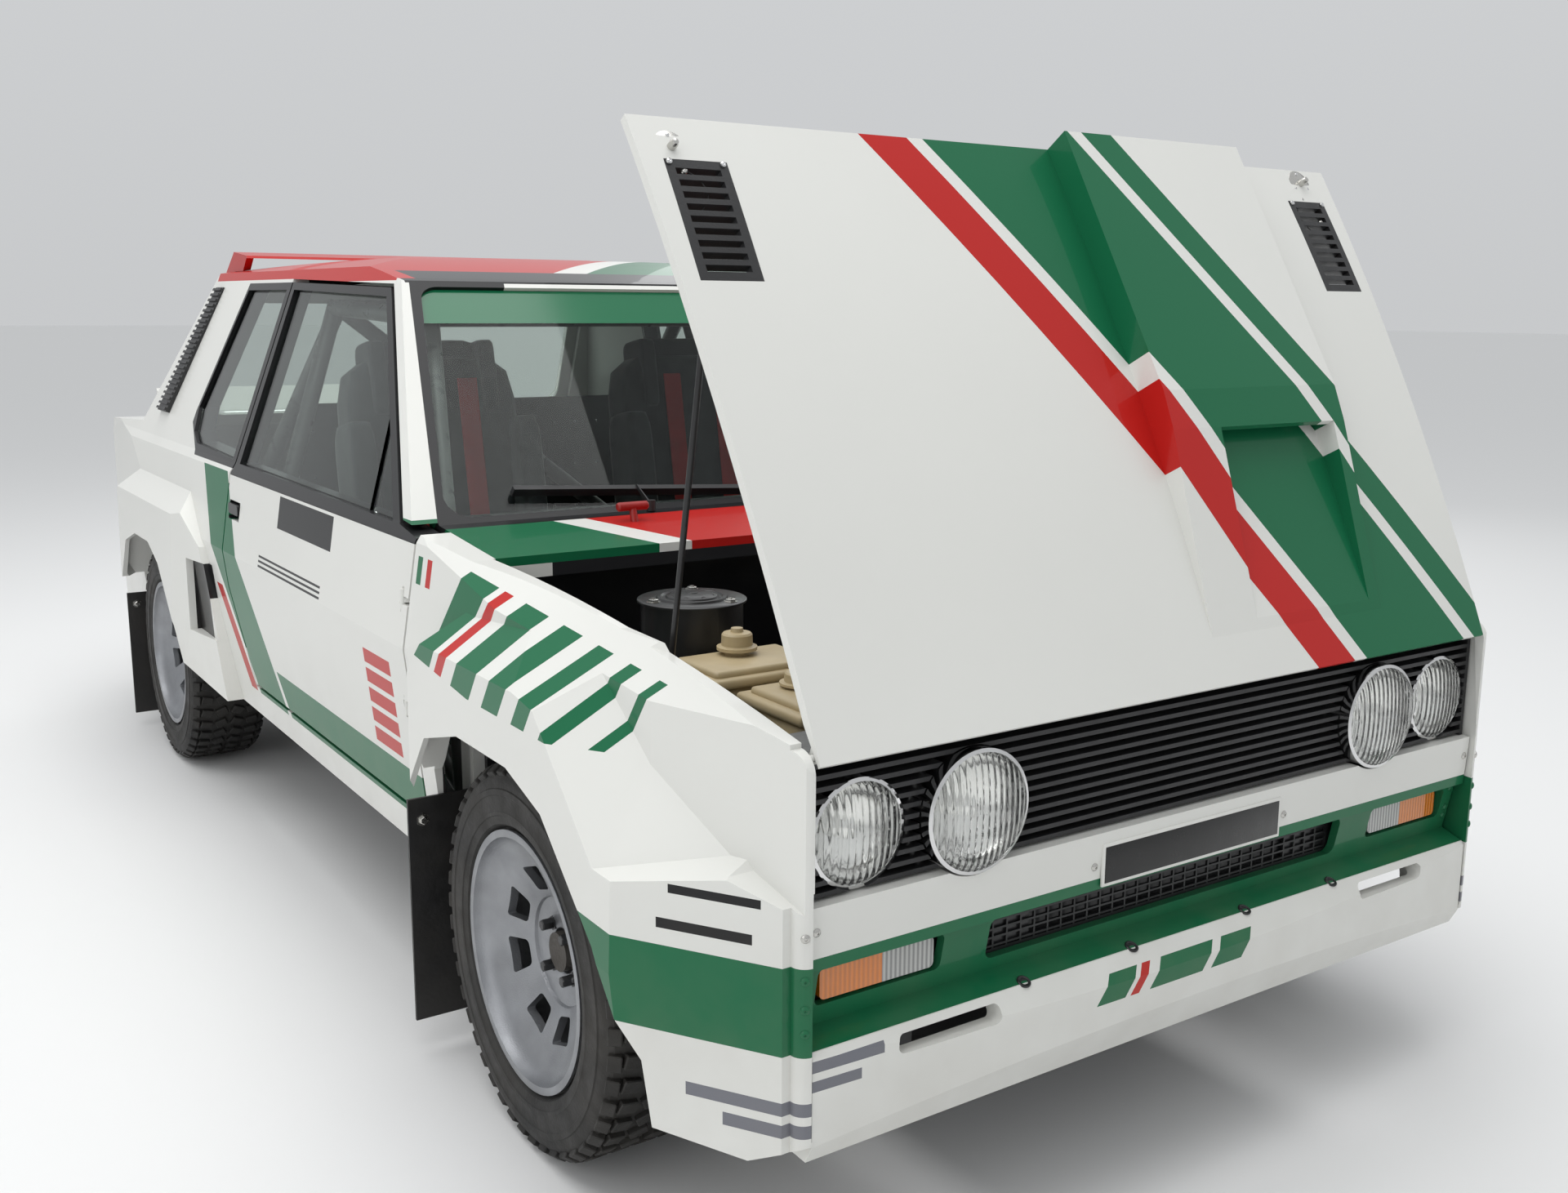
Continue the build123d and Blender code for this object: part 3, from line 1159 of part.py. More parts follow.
# Front panel behind the grille: lamp holes, radiator opening and the top rail under the bonnet
with BuildPart() as front_panel:
    with BuildSketch(Plane.YZ.offset(FRONT_PANEL_X)):
        with Locations((0, SILL_Z + 40)):
            Rectangle(2 * GRILLE_Y - 20, GRILLE_HIGH - SILL_Z - 40, align=(Align.CENTER, Align.MIN))
        with Locations((0, 560)):
            RectangleRounded(560, 330, 20, mode=Mode.SUBTRACT)
        for side in (-1, 1):
            with Locations((side * OUTER_LAMP_Y, LAMP_Z)):
                Circle(OUTER_LAMP_R + 4, mode=Mode.SUBTRACT)
            with Locations((side * INNER_LAMP_Y, LAMP_Z)):
                Circle(INNER_LAMP_R + 4, mode=Mode.SUBTRACT)
    extrude(amount=FRONT_PANEL_DEPTH)
    with BuildSketch(Plane.XY.offset(GRILLE_HIGH - 8)):
        with Locations((FRONT_PANEL_X, 0)):
            Rectangle(70, 2 * GRILLE_Y - 20, align=(Align.MAX, Align.CENTER))
    extrude(amount=8)
keep(front_panel.part, "front_panel")

# Radiator behind its opening, with two end tanks
RADIATOR_X = FRONT_PANEL_X - PANEL_GAP - 24
with BuildPart() as radiator:
    with BuildSketch(Plane.YZ.offset(RADIATOR_X - 24)):
        with Locations((0, 560)):
            Rectangle(540, 350)
    extrude(amount=48)
    with BuildSketch(Plane.YZ.offset(RADIATOR_X - 30)):
        for side in (-1, 1):
            with Locations((side * 300, 560)):
                RectangleRounded(60, 370, 16)
    extrude(amount=54)
keep(radiator.part, "radiator")

# Two fluid tanks on the right-hand shelf, the larger with a screw cap
TANKS = [
    (FRONT_AXLE + 192, 516, 150, 210, 96, 24),
    (FRONT_AXLE + 366, 520, 165, 150, 84, 0),
]
with BuildPart() as tanks:
    for tank_x, tank_y, tank_long, tank_wide, tank_high, cap_r in TANKS:
        with BuildSketch(Plane.XY.offset(SHELF_TOP_Z + PANEL_GAP)):
            with Locations((tank_x, -tank_y)):
                RectangleRounded(tank_long, tank_wide, 22)
        extrude(amount=tank_high, taper=3)
        if cap_r:
            with BuildSketch(Plane.XY.offset(SHELF_TOP_Z + PANEL_GAP + tank_high)):
                with Locations((tank_x - 30, -tank_y)):
                    Circle(cap_r)
            extrude(amount=22)
keep(tanks.part, "fluid_tanks")

# Engine as a plain block with its sump, head and two cam covers, and the gearbox behind it
ENGINE_FRONT = FRONT_AXLE + 260
ENGINE_REAR = FRONT_AXLE - 250
with BuildPart() as engine:
    with BuildSketch(Plane.YZ.offset(ENGINE_REAR)):
        Polygon(
            (-90, 262), (90, 262), (120, 330), (120, 600), (150, 640), (150, 740), (-150, 740), (-150, 640),
            (-120, 600), (-120, 330), align=None,
        )
    extrude(amount=ENGINE_FRONT - ENGINE_REAR)
    with BuildSketch(Plane.YZ.offset(ENGINE_REAR + 10)):
        for side in (-1, 1):
            with Locations((side * 88, 752)):
                RectangleRounded(90, 76, 30)
    extrude(amount=ENGINE_FRONT - ENGINE_REAR - 20)
    with BuildSketch(Plane.YZ.offset(ENGINE_REAR)):
        with Locations((0, 330)):
            Circle(88)
    with BuildSketch(Plane.YZ.offset(ENGINE_REAR - 620)):
        with Locations((0, 320)):
            Circle(56)
    loft()
keep(engine.part, "engine_gearbox")


def tube(points, radius):
    """Round tube that follows straight runs between points, with square joints at its corners."""
    with BuildPart() as run:
        with BuildLine():
            path = Polyline(*points)
        with BuildSketch(Plane(origin=points[0], z_dir=path % 0)):
            Circle(radius)
        sweep(path=path, transition=Transition.RIGHT)
    return run.part


# Knuckles: spindle, upright, ball stub, strut with its spring and the brake caliper
SPINDLE_R = HUB_BORE - SPINDLE_FIT
UPRIGHT_OUT = 75.0
UPRIGHT_IN = 115.0
with BuildPart() as knuckle:
    with BuildSketch(Plane.XZ.offset(WHEEL_Y - UPRIGHT_IN)):
        Polygon(
            (FRONT_AXLE - 24, BALL_JOINT_Z + 8),
            (FRONT_AXLE + 24, BALL_JOINT_Z + 8),
            (FRONT_AXLE + 44, TYRE_RADIUS - 20),
            (FRONT_AXLE + 44, TYRE_RADIUS + 30),
            (FRONT_AXLE + 28, TYRE_RADIUS + 100),
            (FRONT_AXLE - 28, TYRE_RADIUS + 100),
            (FRONT_AXLE - 44, TYRE_RADIUS + 30),
            (FRONT_AXLE - 44, TYRE_RADIUS - 20),
            align=None,
        )
    extrude(amount=UPRIGHT_IN - UPRIGHT_OUT)
    with BuildSketch(Plane.XZ.offset(WHEEL_Y - UPRIGHT_OUT - 1)):
        with Locations((FRONT_AXLE, TYRE_RADIUS)):
            Circle(SPINDLE_R)
    extrude(amount=UPRIGHT_OUT + 36)
    with BuildSketch(Plane.XZ.offset(WHEEL_Y - UPRIGHT_OUT - 1)):
        with Locations((FRONT_AXLE - 92, TYRE_RADIUS + 30)):
            RectangleRounded(60, 110, 12)
    extrude(amount=23)
    with BuildSketch(Plane.XZ.offset(WHEEL_Y - UPRIGHT_OUT - 1)):
        with Locations((FRONT_AXLE - 50, TYRE_RADIUS + 20)):
            Rectangle(90, 50)
    extrude(amount=-20)
    add(bar(on_kingpin(BALL_JOINT_Z - 26), on_kingpin(BALL_JOINT_Z + 20), BALL_STUB_R))
    add(bar(on_kingpin(TYRE_RADIUS - 10), on_kingpin(STRUT_TOP_Z - 25), STRUT_RADIUS))
    add(bar(on_kingpin(STRUT_TOP_Z - 200), on_kingpin(STRUT_TOP_Z - 45), STRUT_RADIUS + 12))
    add(bar(on_kingpin(STRUT_TOP_Z - 30), on_kingpin(STRUT_TOP_Z + 18), STRUT_ROD_R))
both_sides(knuckle.part, "knuckle")

# Wheels: each rim with its hub and brake disc, as distances outward from the wheel centre and from the axle
RIM_PROFILE = [
    (RIM_WIDTH / 2 + 1, RIM_RADIUS),
    (90, RIM_RADIUS),
    (88, BEAD_RADIUS + 1),
    (60, BEAD_RADIUS),
    (40, 176),
    (-30, 170),
    (-60, 176),
    (-78, BEAD_RADIUS),
    (-88, BEAD_RADIUS + 1),
    (-90, RIM_RADIUS),
    (1 - RIM_WIDTH / 2, RIM_RADIUS),
    (1 - RIM_WIDTH / 2, 186),
    (-82, 184),
    (-64, 168),
    (-30, 160),
    (14, 160),
    (8, 120),
    (8, 60),
    (-34, 60),
    (-34, 128),
    (-46, 128),
    (-46, 60),
    (-62, 60),
    (-62, HUB_BORE),
    (44, HUB_BORE),
    (44, 58),
    (30, 66),
    (28, 120),
    (40, 160),
    (84, 178),
    (RIM_WIDTH / 2 + 1, 192),
]
TYRE_PROFILE = [
    (84, BEAD_RADIUS + 1 + TYRE_FIT),
    (86, 207),
    (98, 215),
    (TYRE_WIDTH / 2, 250),
    (98, 290),
    (86, TYRE_RADIUS - 6),
    (70, TYRE_RADIUS),
]
WINDOW_TURN = 360 / WHEEL_WINDOWS
with BuildPart() as rim:
    with BuildSketch(Plane.YZ):
        Polygon(*[(-w, r) for w, r in RIM_PROFILE], align=None)
    revolve(axis=Axis.Y)
    with BuildSketch(Plane.XZ.offset(-2)):
        for pair in range(WHEEL_WINDOWS // 2):
            for half_turn in (-20, 20):
                with PolarLocations(0, 1, pair * 2 * WINDOW_TURN + WINDOW_TURN + half_turn):
                    Polygon((86, -13), (142, -26), (142, 22), (86, 15), align=None)
    extrude(amount=60, mode=Mode.SUBTRACT)
with BuildPart() as tyre:
    with BuildSketch(Plane.YZ):
        Polygon(*TYRE_PROFILE, *[(-w, r) for w, r in reversed(TYRE_PROFILE)], align=None)
    revolve(axis=Axis.Y)
for end, axle_x in (("front", FRONT_AXLE), ("rear", REAR_AXLE)):
    at_wheel = Location((axle_x, -WHEEL_Y, TYRE_RADIUS))
    both_sides(rim.part.moved(at_wheel), "rim_" + end)
    both_sides(tyre.part.moved(at_wheel), "tyre_" + end)

# Front suspension: crossmember, track arms to the ball joints, radius rods and the sump guard
GUARD_Z = 165.0
RADIUS_ROD_Y = 450.0
with BuildPart() as front_suspension:
    with BuildSketch(Plane.XY.offset(190)):
        with Locations((FRONT_AXLE, 0)):
            Rectangle(80, 760)
    extrude(amount=60)
    for side in (-1, 1):
        with BuildSketch(Plane.YZ.offset(FRONT_AXLE - 20)):
            Polygon(
                (side * 360, 196),
                (side * 360, 232),
                (side * (BALL_JOINT_Y + 22), 194),
                (side * (BALL_JOINT_Y + 22), 168),
                align=None,
            )
        extrude(amount=40)
        axis_point = on_kingpin if side < 0 else on_left_kingpin
        socket = bar(axis_point(BALL_JOINT_Z - 28), axis_point(BALL_JOINT_Z + 60), BALL_STUB_R + SPINDLE_FIT)
        add(socket, mode=Mode.SUBTRACT)
        add(bar((FRONT_AXLE + 10, side * RADIUS_ROD_Y, 204), (FRONT_AXLE + 420, side * 396, 250), 11))
        with BuildSketch(Plane.XY.offset(236)):
            with Locations((FRONT_AXLE + 420, side * 404)):
                Rectangle(44, 34)
        extrude(amount=SILL_Z + 60 - 236)
        with BuildSketch(Plane.XZ.offset(-side * 340)):
            Polygon(
                (FRONT_AXLE - 40, 240),
                (FRONT_AXLE + 40, 240),
                (FRONT_AXLE + 90, SILL_Z + 30),
                (FRONT_AXLE - 90, SILL_Z + 30),
                align=None,
            )
        extrude(amount=-side * (BAY_WALL_Y - BAY_WALL_DEPTH - PANEL_GAP - 340))
        for post_x in (FRONT_AXLE - 30, FRONT_AXLE + 30):
            with BuildSketch(Plane.XY.offset(GUARD_Z)):
                with Locations((post_x, side * 250)):
                    Rectangle(16, 40)
            extrude(amount=30)
    with BuildSketch(Plane.XZ):
        Polygon(
            (FRONT_AXLE - 250, GUARD_Z),
            (NOSE - 200, GUARD_Z),
            (NOSE - 90, LIP_Z + 2),
            (NOSE - 98, LIP_Z + 4),
            (NOSE - 204, GUARD_Z + 6),
            (FRONT_AXLE - 250, GUARD_Z + 6),
            align=None,
        )
    extrude(amount=300, both=True)
    with BuildSketch(Plane.XY.offset(245)):
        for side in (-1, 1):
            with Locations((FRONT_AXLE, side * 65)):
                Rectangle(50, 40)
    extrude(amount=262 - PANEL_GAP - 245)
keep(front_suspension.part, "front_suspension")

# Rear axle: final drive, cross beam, trailing arms, drive shafts, wheel carriers, struts and propeller shaft
CARRIER_IN = WHEEL_Y - UPRIGHT_IN
CARRIER_OUT = WHEEL_Y - UPRIGHT_OUT
BEAM_X = REAR_AXLE + 310
PROP_SHAFT_FRONT = ENGINE_REAR - 622
REAR_STRUT_Y = 575.0
with BuildPart() as rear_axle:
    with BuildSketch(Plane.XY.offset(232)):
        with Locations((REAR_AXLE + 10, 0)):
            Rectangle(240, 220)
    extrude(amount=158)
    with BuildSketch(Plane.XY.offset(240)):
        with Locations((BEAM_X, 0)):
            Rectangle(60, 1000)
        with Locations((REAR_AXLE + 200, 0)):
            Rectangle(200, 110)
    extrude(amount=50)
    add(bar((PROP_SHAFT_FRONT, 0, 318), (REAR_AXLE + 100, 0, 305), 30))
    for side in (-1, 1):
        add(bar((REAR_AXLE, side * 100, TYRE_RADIUS), (REAR_AXLE, side * (CARRIER_IN + 10), TYRE_RADIUS), 16))
        with BuildSketch(Plane.XY.offset(240)):
            Polygon(
                (BEAM_X, side * 300),
                (BEAM_X, side * 400),
                (REAR_AXLE + 45, side * (CARRIER_IN + 20)),
                (REAR_AXLE - 30, side * (CARRIER_IN + 20)),
                (REAR_AXLE - 30, side * (CARRIER_IN - 40)),
                align=None,
            )
        extrude(amount=24)
        with BuildSketch(Plane.XY.offset(240)):
            with Locations((REAR_AXLE, side * (CARRIER_IN + CARRIER_OUT) / 2)):
                Rectangle(90, CARRIER_OUT - CARRIER_IN)
        extrude(amount=160)
        spindle_root = (REAR_AXLE, side * (CARRIER_OUT - 2), TYRE_RADIUS)
        add(bar(spindle_root, (REAR_AXLE, side * (WHEEL_Y + 36), TYRE_RADIUS), SPINDLE_R))
        add(bar((REAR_AXLE, side * REAR_STRUT_Y, 250), (REAR_AXLE, side * REAR_STRUT_Y, 674.7), 22))
        add(bar((REAR_AXLE, side * REAR_STRUT_Y, 540), (REAR_AXLE, side * REAR_STRUT_Y, 674.7), 27))
keep(rear_axle.part, "rear_axle")

# Mudflaps behind the four wheels
MUDFLAP_DEPTH = 6.0
with BuildPart() as mudflaps:
    for flap_x, low_z, high_z, in_y in (
        (FRONT_AXLE + FRONT_ARCH[0][0] - 44 + PANEL_GAP, 60, 470, 606),
        (REAR_AXLE + REAR_ARCH[0][0] - 24 + PANEL_GAP, 50, 430, 606),
    ):
        for side in (-1, 1):
            with BuildSketch(Plane.YZ.offset(flap_x)):
                with Locations((side * (in_y + FLARE_Y - FLARE_SKIN - 2) / 2, low_z)):
                    flap_width = FLARE_Y - FLARE_SKIN - 2 - in_y
                    Rectangle(flap_width, high_z - low_z, align=(Align.CENTER, Align.MIN))
            extrude(amount=MUDFLAP_DEPTH)
keep(mudflaps.part, "mudflaps")

# Exhaust pipe with its silencer and hangers
PIPE_Y = -180.0
PIPE_Z = 202.0
EXHAUST_HANGERS = [
    (DOOR_FRONT - 200, FLOOR_Z),
    (DOOR_REAR + 100, FLOOR_Z),
    (REAR_AXLE - 660, BOOT_FLOOR_Z),
]
with BuildPart() as exhaust:
    add(bar((ENGINE_REAR, PIPE_Y, PIPE_Z), (REAR_AXLE - 600, PIPE_Y, PIPE_Z), 22))
    add(bar((REAR_AXLE - 500, PIPE_Y, PIPE_Z + 38), (REAR_AXLE - 820, PIPE_Y, PIPE_Z + 38), 70))
    add(bar((REAR_AXLE - 800, PIPE_Y, PIPE_Z + 38), (TAIL + 4, PIPE_Y, PIPE_Z + 38), 26))
    for hanger_x, top_z in EXHAUST_HANGERS:
        with BuildSketch(Plane.XY.offset(PIPE_Z)):
            with Locations((hanger_x, PIPE_Y)):
                Rectangle(24, 14)
        extrude(amount=top_z - PANEL_GAP - PIPE_Z)
keep(exhaust.part, "exhaust")

# Rear bumper strip and the tail lamps
with BuildPart() as rear_bumper:
    with BuildSketch(Plane.XZ):
        Polygon(
            (TAIL, 500),
            (TAIL, 566),
            (BODY_REAR - PANEL_GAP, 580),
            (BODY_REAR - PANEL_GAP, 488),
            align=None,
        )
    extrude(amount=TAIL_Y - 6, both=True)
keep(rear_bumper.part, "rear_bumper")
with BuildPart() as tail_lamps:
    with BuildSketch(Plane.YZ.offset(BODY_REAR - PANEL_GAP)):
        for side in (-1, 1):
            with Locations((side * 520, 790)):
                RectangleRounded(220, 120, 10)
    extrude(amount=-10)
keep(tail_lamps.part, "tail_lamps")

# Dashboard with its hood, against the bulkhead
DASH_Y = 640.0
with BuildPart() as dashboard:
    with BuildSketch(Plane.XZ):
        Polygon(
            (BULKHEAD_X - BULKHEAD_DEPTH / 2 - PANEL_GAP, 640),
            (BULKHEAD_X - BULKHEAD_DEPTH / 2 - PANEL_GAP, 800),
            (SCREEN_BASE - 55, 862),
            (SCREEN_BASE - 65, 896),
            (SCREEN_BASE - 215, 906),
            (SCREEN_BASE - 235, 880),
            (SCREEN_BASE - 215, 700),
            (SCREEN_BASE - 150, 640),
            align=None,
        )
    extrude(amount=DASH_Y, both=True)
keep(dashboard.part, "dashboard")

# Steering wheel with three spokes on its column, on the left
WHEEL_RING_R = 168.0
DRIVER_Y = 360.0
COLUMN_FOOT = (SCREEN_BASE - 180, DRIVER_Y, 788)
COLUMN_TOP = (SCREEN_BASE - 360, DRIVER_Y, 850)
wheel_plane = Plane(origin=COLUMN_TOP, x_dir=(0, 1, 0), z_dir=Vector(*COLUMN_TOP) - Vector(*COLUMN_FOOT))
with BuildPart() as steering_wheel:
    with BuildSketch(Plane(origin=COLUMN_TOP, x_dir=wheel_plane.x_dir, z_dir=wheel_plane.y_dir)):
        with Locations((WHEEL_RING_R, 0)):
            Circle(14)
    revolve(axis=Axis(COLUMN_TOP, wheel_plane.z_dir))
    with BuildSketch(wheel_plane.offset(-4)):
        Circle(46)
        for turn in (0, 180, 270):
            with PolarLocations(0, 1, turn):
                Polygon((20, -16), (WHEEL_RING_R, -12), (WHEEL_RING_R, 12), (20, 16), align=None)
    extrude(amount=8)
    add(bar(COLUMN_TOP, COLUMN_FOOT, 22))
    add(dashboard.part, mode=Mode.SUBTRACT)
keep(steering_wheel.part, "steering_wheel")

# Bucket seats with raised sides, on rails
SEAT_Y = 360.0
SEAT_OUTLINE = [
    (400, 345),
    (420, 380),
    (400, 500),
    (140, 480),
    (10, 900),
    (-60, 1010),
    (-60, 1160),
    (-110, 1190),
    (-190, 1180),
    (-180, 1000),
    (-70, 380),
    (-40, 345),
]
SEAT_HOLLOW = [
    (440, 560),
    (440, 440),
    (60, 400),
    (-115, 1000),
    (-118, 1130),
    (-40, 1130),
    (40, 1000),
    (150, 560),
]
with BuildPart() as seats:
    for side in (-1, 1):
        with BuildSketch(Plane.XZ.offset(-side * SEAT_Y)):
            Polygon(*SEAT_OUTLINE, align=None)
        extrude(amount=240, both=True)
        with BuildSketch(Plane.XZ.offset(-side * SEAT_Y)):
            Polygon(*SEAT_HOLLOW, align=None)
        extrude(amount=180, both=True, mode=Mode.SUBTRACT)
        for rail_y in (-180, 180):
            with BuildSketch(Plane.XY.offset(FLOOR_Z + FLOOR_DEPTH + PANEL_GAP)):
                with Locations((180, side * SEAT_Y + rail_y)):
                    Rectangle(400, 30)
            extrude(amount=40)
keep(seats.part, "bucket_seats")

# Roll cage: main hoop, front legs with the roof rails, rear stays, door bars and a diagonal
CAGE_R = 20.0
HOOP_X = DOOR_REAR - 25
FOOT_Z = FLOOR_Z + FLOOR_DEPTH + PANEL_GAP
CAGE_TOP_Z = 1300.0
with BuildPart() as cage:
    add(
        tube(
            [
                (HOOP_X, -640, FOOT_Z),
                (HOOP_X, -640, 860),
                (HOOP_X, -500, CAGE_TOP_Z),
                (HOOP_X, 500, CAGE_TOP_Z),
                (HOOP_X, 640, 860),
                (HOOP_X, 640, FOOT_Z),
            ],
            CAGE_R,
        )
    )
    for side in (-1, 1):
        add(
            tube(
                [
                    (SCREEN_BASE - 20, side * 680, FOOT_Z + 2),
                    (SCREEN_BASE - 70, side * 680, 850),
                    (SCREEN_TOP - 40, side * 535, CAGE_TOP_Z - 16),
                    (HOOP_X, side * 500, CAGE_TOP_Z),
                ],
                CAGE_R,
            )
        )
        add(bar((HOOP_X, side * 490, CAGE_TOP_Z), (REAR_AXLE + 60, side * 575, 706), CAGE_R))
        add(bar((HOOP_X, side * 640, 800), (SCREEN_BASE - 30, side * 680, 420), CAGE_R))
    add(bar((SCREEN_TOP - 40, -535, CAGE_TOP_Z - 16), (SCREEN_TOP - 40, 535, CAGE_TOP_Z - 16), CAGE_R))
    add(bar((HOOP_X, -490, CAGE_TOP_Z), (HOOP_X, 640, 420), CAGE_R))
keep(cage.part, "roll_cage")

# Wipers resting low on the screen, each an arm with its blade
WIPERS = [(-300, -560, -40), (280, -10, 500)]
with BuildPart() as wipers:
    for pivot_y, blade_from, blade_to in WIPERS:
        with BuildSketch(screen_plane.offset(11)):
            Polygon((pivot_y, -8), (pivot_y, 8), (blade_from + 250, 52), (blade_from + 250, 42), align=None)
        extrude(amount=8)
        with BuildSketch(screen_plane.offset(-7.5)):
            Polygon((blade_from, 62), (blade_from, 72), (blade_to, 34), (blade_to, 24), align=None)
        extrude(amount=20)
        add(bar((SCREEN_BASE + 14, pivot_y, BELT_Z + 3.6), (SCREEN_BASE + 14, pivot_y, BELT_Z + 24), 9))
keep(wipers.part, "wipers")

# Ribbed strips on the pillars behind the quarter windows
PILLAR_RISE = GUTTER_Z - BELT_Z
PILLAR_SLOPE = hypot(PILLAR_RISE, BELT_Y - GUTTER_Y) / PILLAR_RISE
LOUVRE_TOP_Z = 1352.0
LOUVRE_FOOT_Z = 1000.0
LOUVRE_TOP_X = (-1070.0, -985.0)
LOUVRE_FOOT_X = (-1262.0, -1152.0)
LOUVRE_RIBS = 24
LOUVRE_SLOT = 8.0
LOUVRE_ROOT = 12.0
LOUVRE_PROUD = 9.0
LOUVRE_PITCH = (LOUVRE_TOP_Z - LOUVRE_FOOT_Z) / LOUVRE_RIBS


def louvre_band(low_z, high_z):
    """Corners of the strip between two heights, in the plane of the pillar."""
    corners = []
    for height, order in ((low_z, (0, 1)), (high_z, (1, 0))):
        share = (height - LOUVRE_FOOT_Z) / (LOUVRE_TOP_Z - LOUVRE_FOOT_Z)
        for edge in order:
            edge_x = LOUVRE_FOOT_X[edge] + share * (LOUVRE_TOP_X[edge] - LOUVRE_FOOT_X[edge])
            corners.append((edge_x, (height - BELT_Z) * PILLAR_SLOPE))
    return corners


with BuildPart() as pillar_louvres:
    for side in (-1, 1):
        pillar_plane = Plane(
            origin=(0, side * BELT_Y, BELT_Z),
            x_dir=(1, 0, 0),
            z_dir=(0, side * PILLAR_RISE, BELT_Y - GUTTER_Y),
        )
        base_plane = pillar_plane.offset(-LOUVRE_ROOT)
        mirror_y = -side
        with BuildSketch(base_plane):
            Polygon(*[(x, mirror_y * y) for x, y in louvre_band(LOUVRE_FOOT_Z, LOUVRE_TOP_Z)], align=None)
        extrude(amount=LOUVRE_ROOT + LOUVRE_PROUD / 3)
        for rib in range(LOUVRE_RIBS):
            low_z = LOUVRE_FOOT_Z + rib * LOUVRE_PITCH
            rib_corners = louvre_band(low_z + LOUVRE_SLOT / 2, low_z + LOUVRE_PITCH - LOUVRE_SLOT / 2)
            with BuildSketch(base_plane):
                Polygon(*[(x, mirror_y * y) for x, y in rib_corners], align=None)
            extrude(amount=LOUVRE_ROOT + LOUVRE_PROUD)
    add(outer_body, mode=Mode.SUBTRACT)
    add(mirror(outer_body, about=Plane.XZ), mode=Mode.SUBTRACT)
keep(pillar_louvres.part, "pillar_louvres")

# Roof spoiler, a raised blade over the rear edge of the roof with a leg at each end
SPOILER_Y = 560.0
with BuildPart() as roof_spoiler:
    with BuildSketch(Plane.XZ):
        Polygon(
            (ROOF_REAR + 165, ROOF_Z + 2),
            (ROOF_REAR + 160, ROOF_Z + 9),
            (ROOF_REAR + 25, ROOF_Z + 22),
            (ROOF_REAR + 18, ROOF_Z + 12),
            align=None,
        )
    extrude(amount=SPOILER_Y, both=True)
    for side in (-1, 1):
        with BuildSketch(Plane.XZ.offset(-side * (SPOILER_Y - 20))):
            Polygon(
                (ROOF_REAR + 162, ROOF_Z + 5),
                (ROOF_REAR + 24, ROOF_Z + 20),
                (ROOF_REAR - 96, ROOF_Z - 48),
                (ROOF_REAR - 104, ROOF_Z - 90),
                (ROOF_REAR + 40, ROOF_Z - 90),
                align=None,
            )
        extrude(amount=-side * 20)
    add(outer_body, mode=Mode.SUBTRACT)
keep(roof_spoiler.part.moved(Location((0, 0, 0.8))), "roof_spoiler")
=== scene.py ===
# %% [markdown]
# # A rally saloon, dressed over its CAD frame
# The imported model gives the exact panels, glass, wheels and hinges. This lesson adds what a
# CAD part leaves out: paint and stripes, tread, bolts, lamp glass, seats and belts.
# Everything stays in metres and in the frame of the CAD part, with +X towards the nose.

# %% Load the frame
import json
from math import cos, hypot, pi, radians, sin

import bpy
from mathutils import Matrix, Vector

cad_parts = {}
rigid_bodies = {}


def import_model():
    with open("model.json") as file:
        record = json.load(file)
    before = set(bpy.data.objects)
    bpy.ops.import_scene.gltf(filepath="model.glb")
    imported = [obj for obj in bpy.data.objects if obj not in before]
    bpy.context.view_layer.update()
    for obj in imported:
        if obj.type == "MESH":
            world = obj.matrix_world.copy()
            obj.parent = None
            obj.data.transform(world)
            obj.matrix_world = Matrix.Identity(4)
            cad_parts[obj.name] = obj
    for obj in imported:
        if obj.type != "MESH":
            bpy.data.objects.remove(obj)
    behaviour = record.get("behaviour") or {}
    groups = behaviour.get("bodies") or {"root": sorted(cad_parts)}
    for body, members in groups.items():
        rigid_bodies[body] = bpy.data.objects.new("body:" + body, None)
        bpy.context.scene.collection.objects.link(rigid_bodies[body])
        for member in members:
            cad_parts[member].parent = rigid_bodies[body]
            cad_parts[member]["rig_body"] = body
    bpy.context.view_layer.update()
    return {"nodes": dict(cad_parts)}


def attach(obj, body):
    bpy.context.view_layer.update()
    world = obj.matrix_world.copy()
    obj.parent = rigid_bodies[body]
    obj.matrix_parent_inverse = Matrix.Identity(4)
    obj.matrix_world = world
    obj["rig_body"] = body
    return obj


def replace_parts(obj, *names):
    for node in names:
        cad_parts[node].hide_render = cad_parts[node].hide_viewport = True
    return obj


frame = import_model()
nodes = frame["nodes"]

# %% [markdown]
# ## Camera
# The photograph was taken from ahead and to the car's right, a little above the bonnet line.
# Place, direction, roll and lens come from matching known points of the car to the picture.
# The optical axis is slightly off the picture's centre, which the two shifts put back.

# %% Camera
CAMERA_PLACE = Vector((3.4638, -1.6836, 1.318))
CAMERA_AZIMUTH, CAMERA_RISE, CAMERA_ROLL = radians(55.83), radians(10.68), radians(0.42)
FOCAL_PIXELS, PHOTO_WIDTH, SENSOR_WIDTH = 1837.6, 1920, 36.0
flat = cos(CAMERA_RISE)
back = Vector((sin(CAMERA_AZIMUTH) * flat, -cos(CAMERA_AZIMUTH) * flat, sin(CAMERA_RISE)))
level = Vector((0, 0, 1)).cross(back).normalized()
above = back.cross(level)
right = cos(CAMERA_ROLL) * level + sin(CAMERA_ROLL) * above
above = cos(CAMERA_ROLL) * above - sin(CAMERA_ROLL) * level
camera_data = bpy.data.cameras.new("camera")
camera_data.sensor_width = SENSOR_WIDTH
camera_data.lens = FOCAL_PIXELS / PHOTO_WIDTH * SENSOR_WIDTH
camera_data.shift_x = -0.0086
camera_data.shift_y = -0.0059
camera = bpy.data.objects.new("camera", camera_data)
bpy.context.scene.collection.objects.link(camera)
turn = Matrix((right, above, back)).transposed()
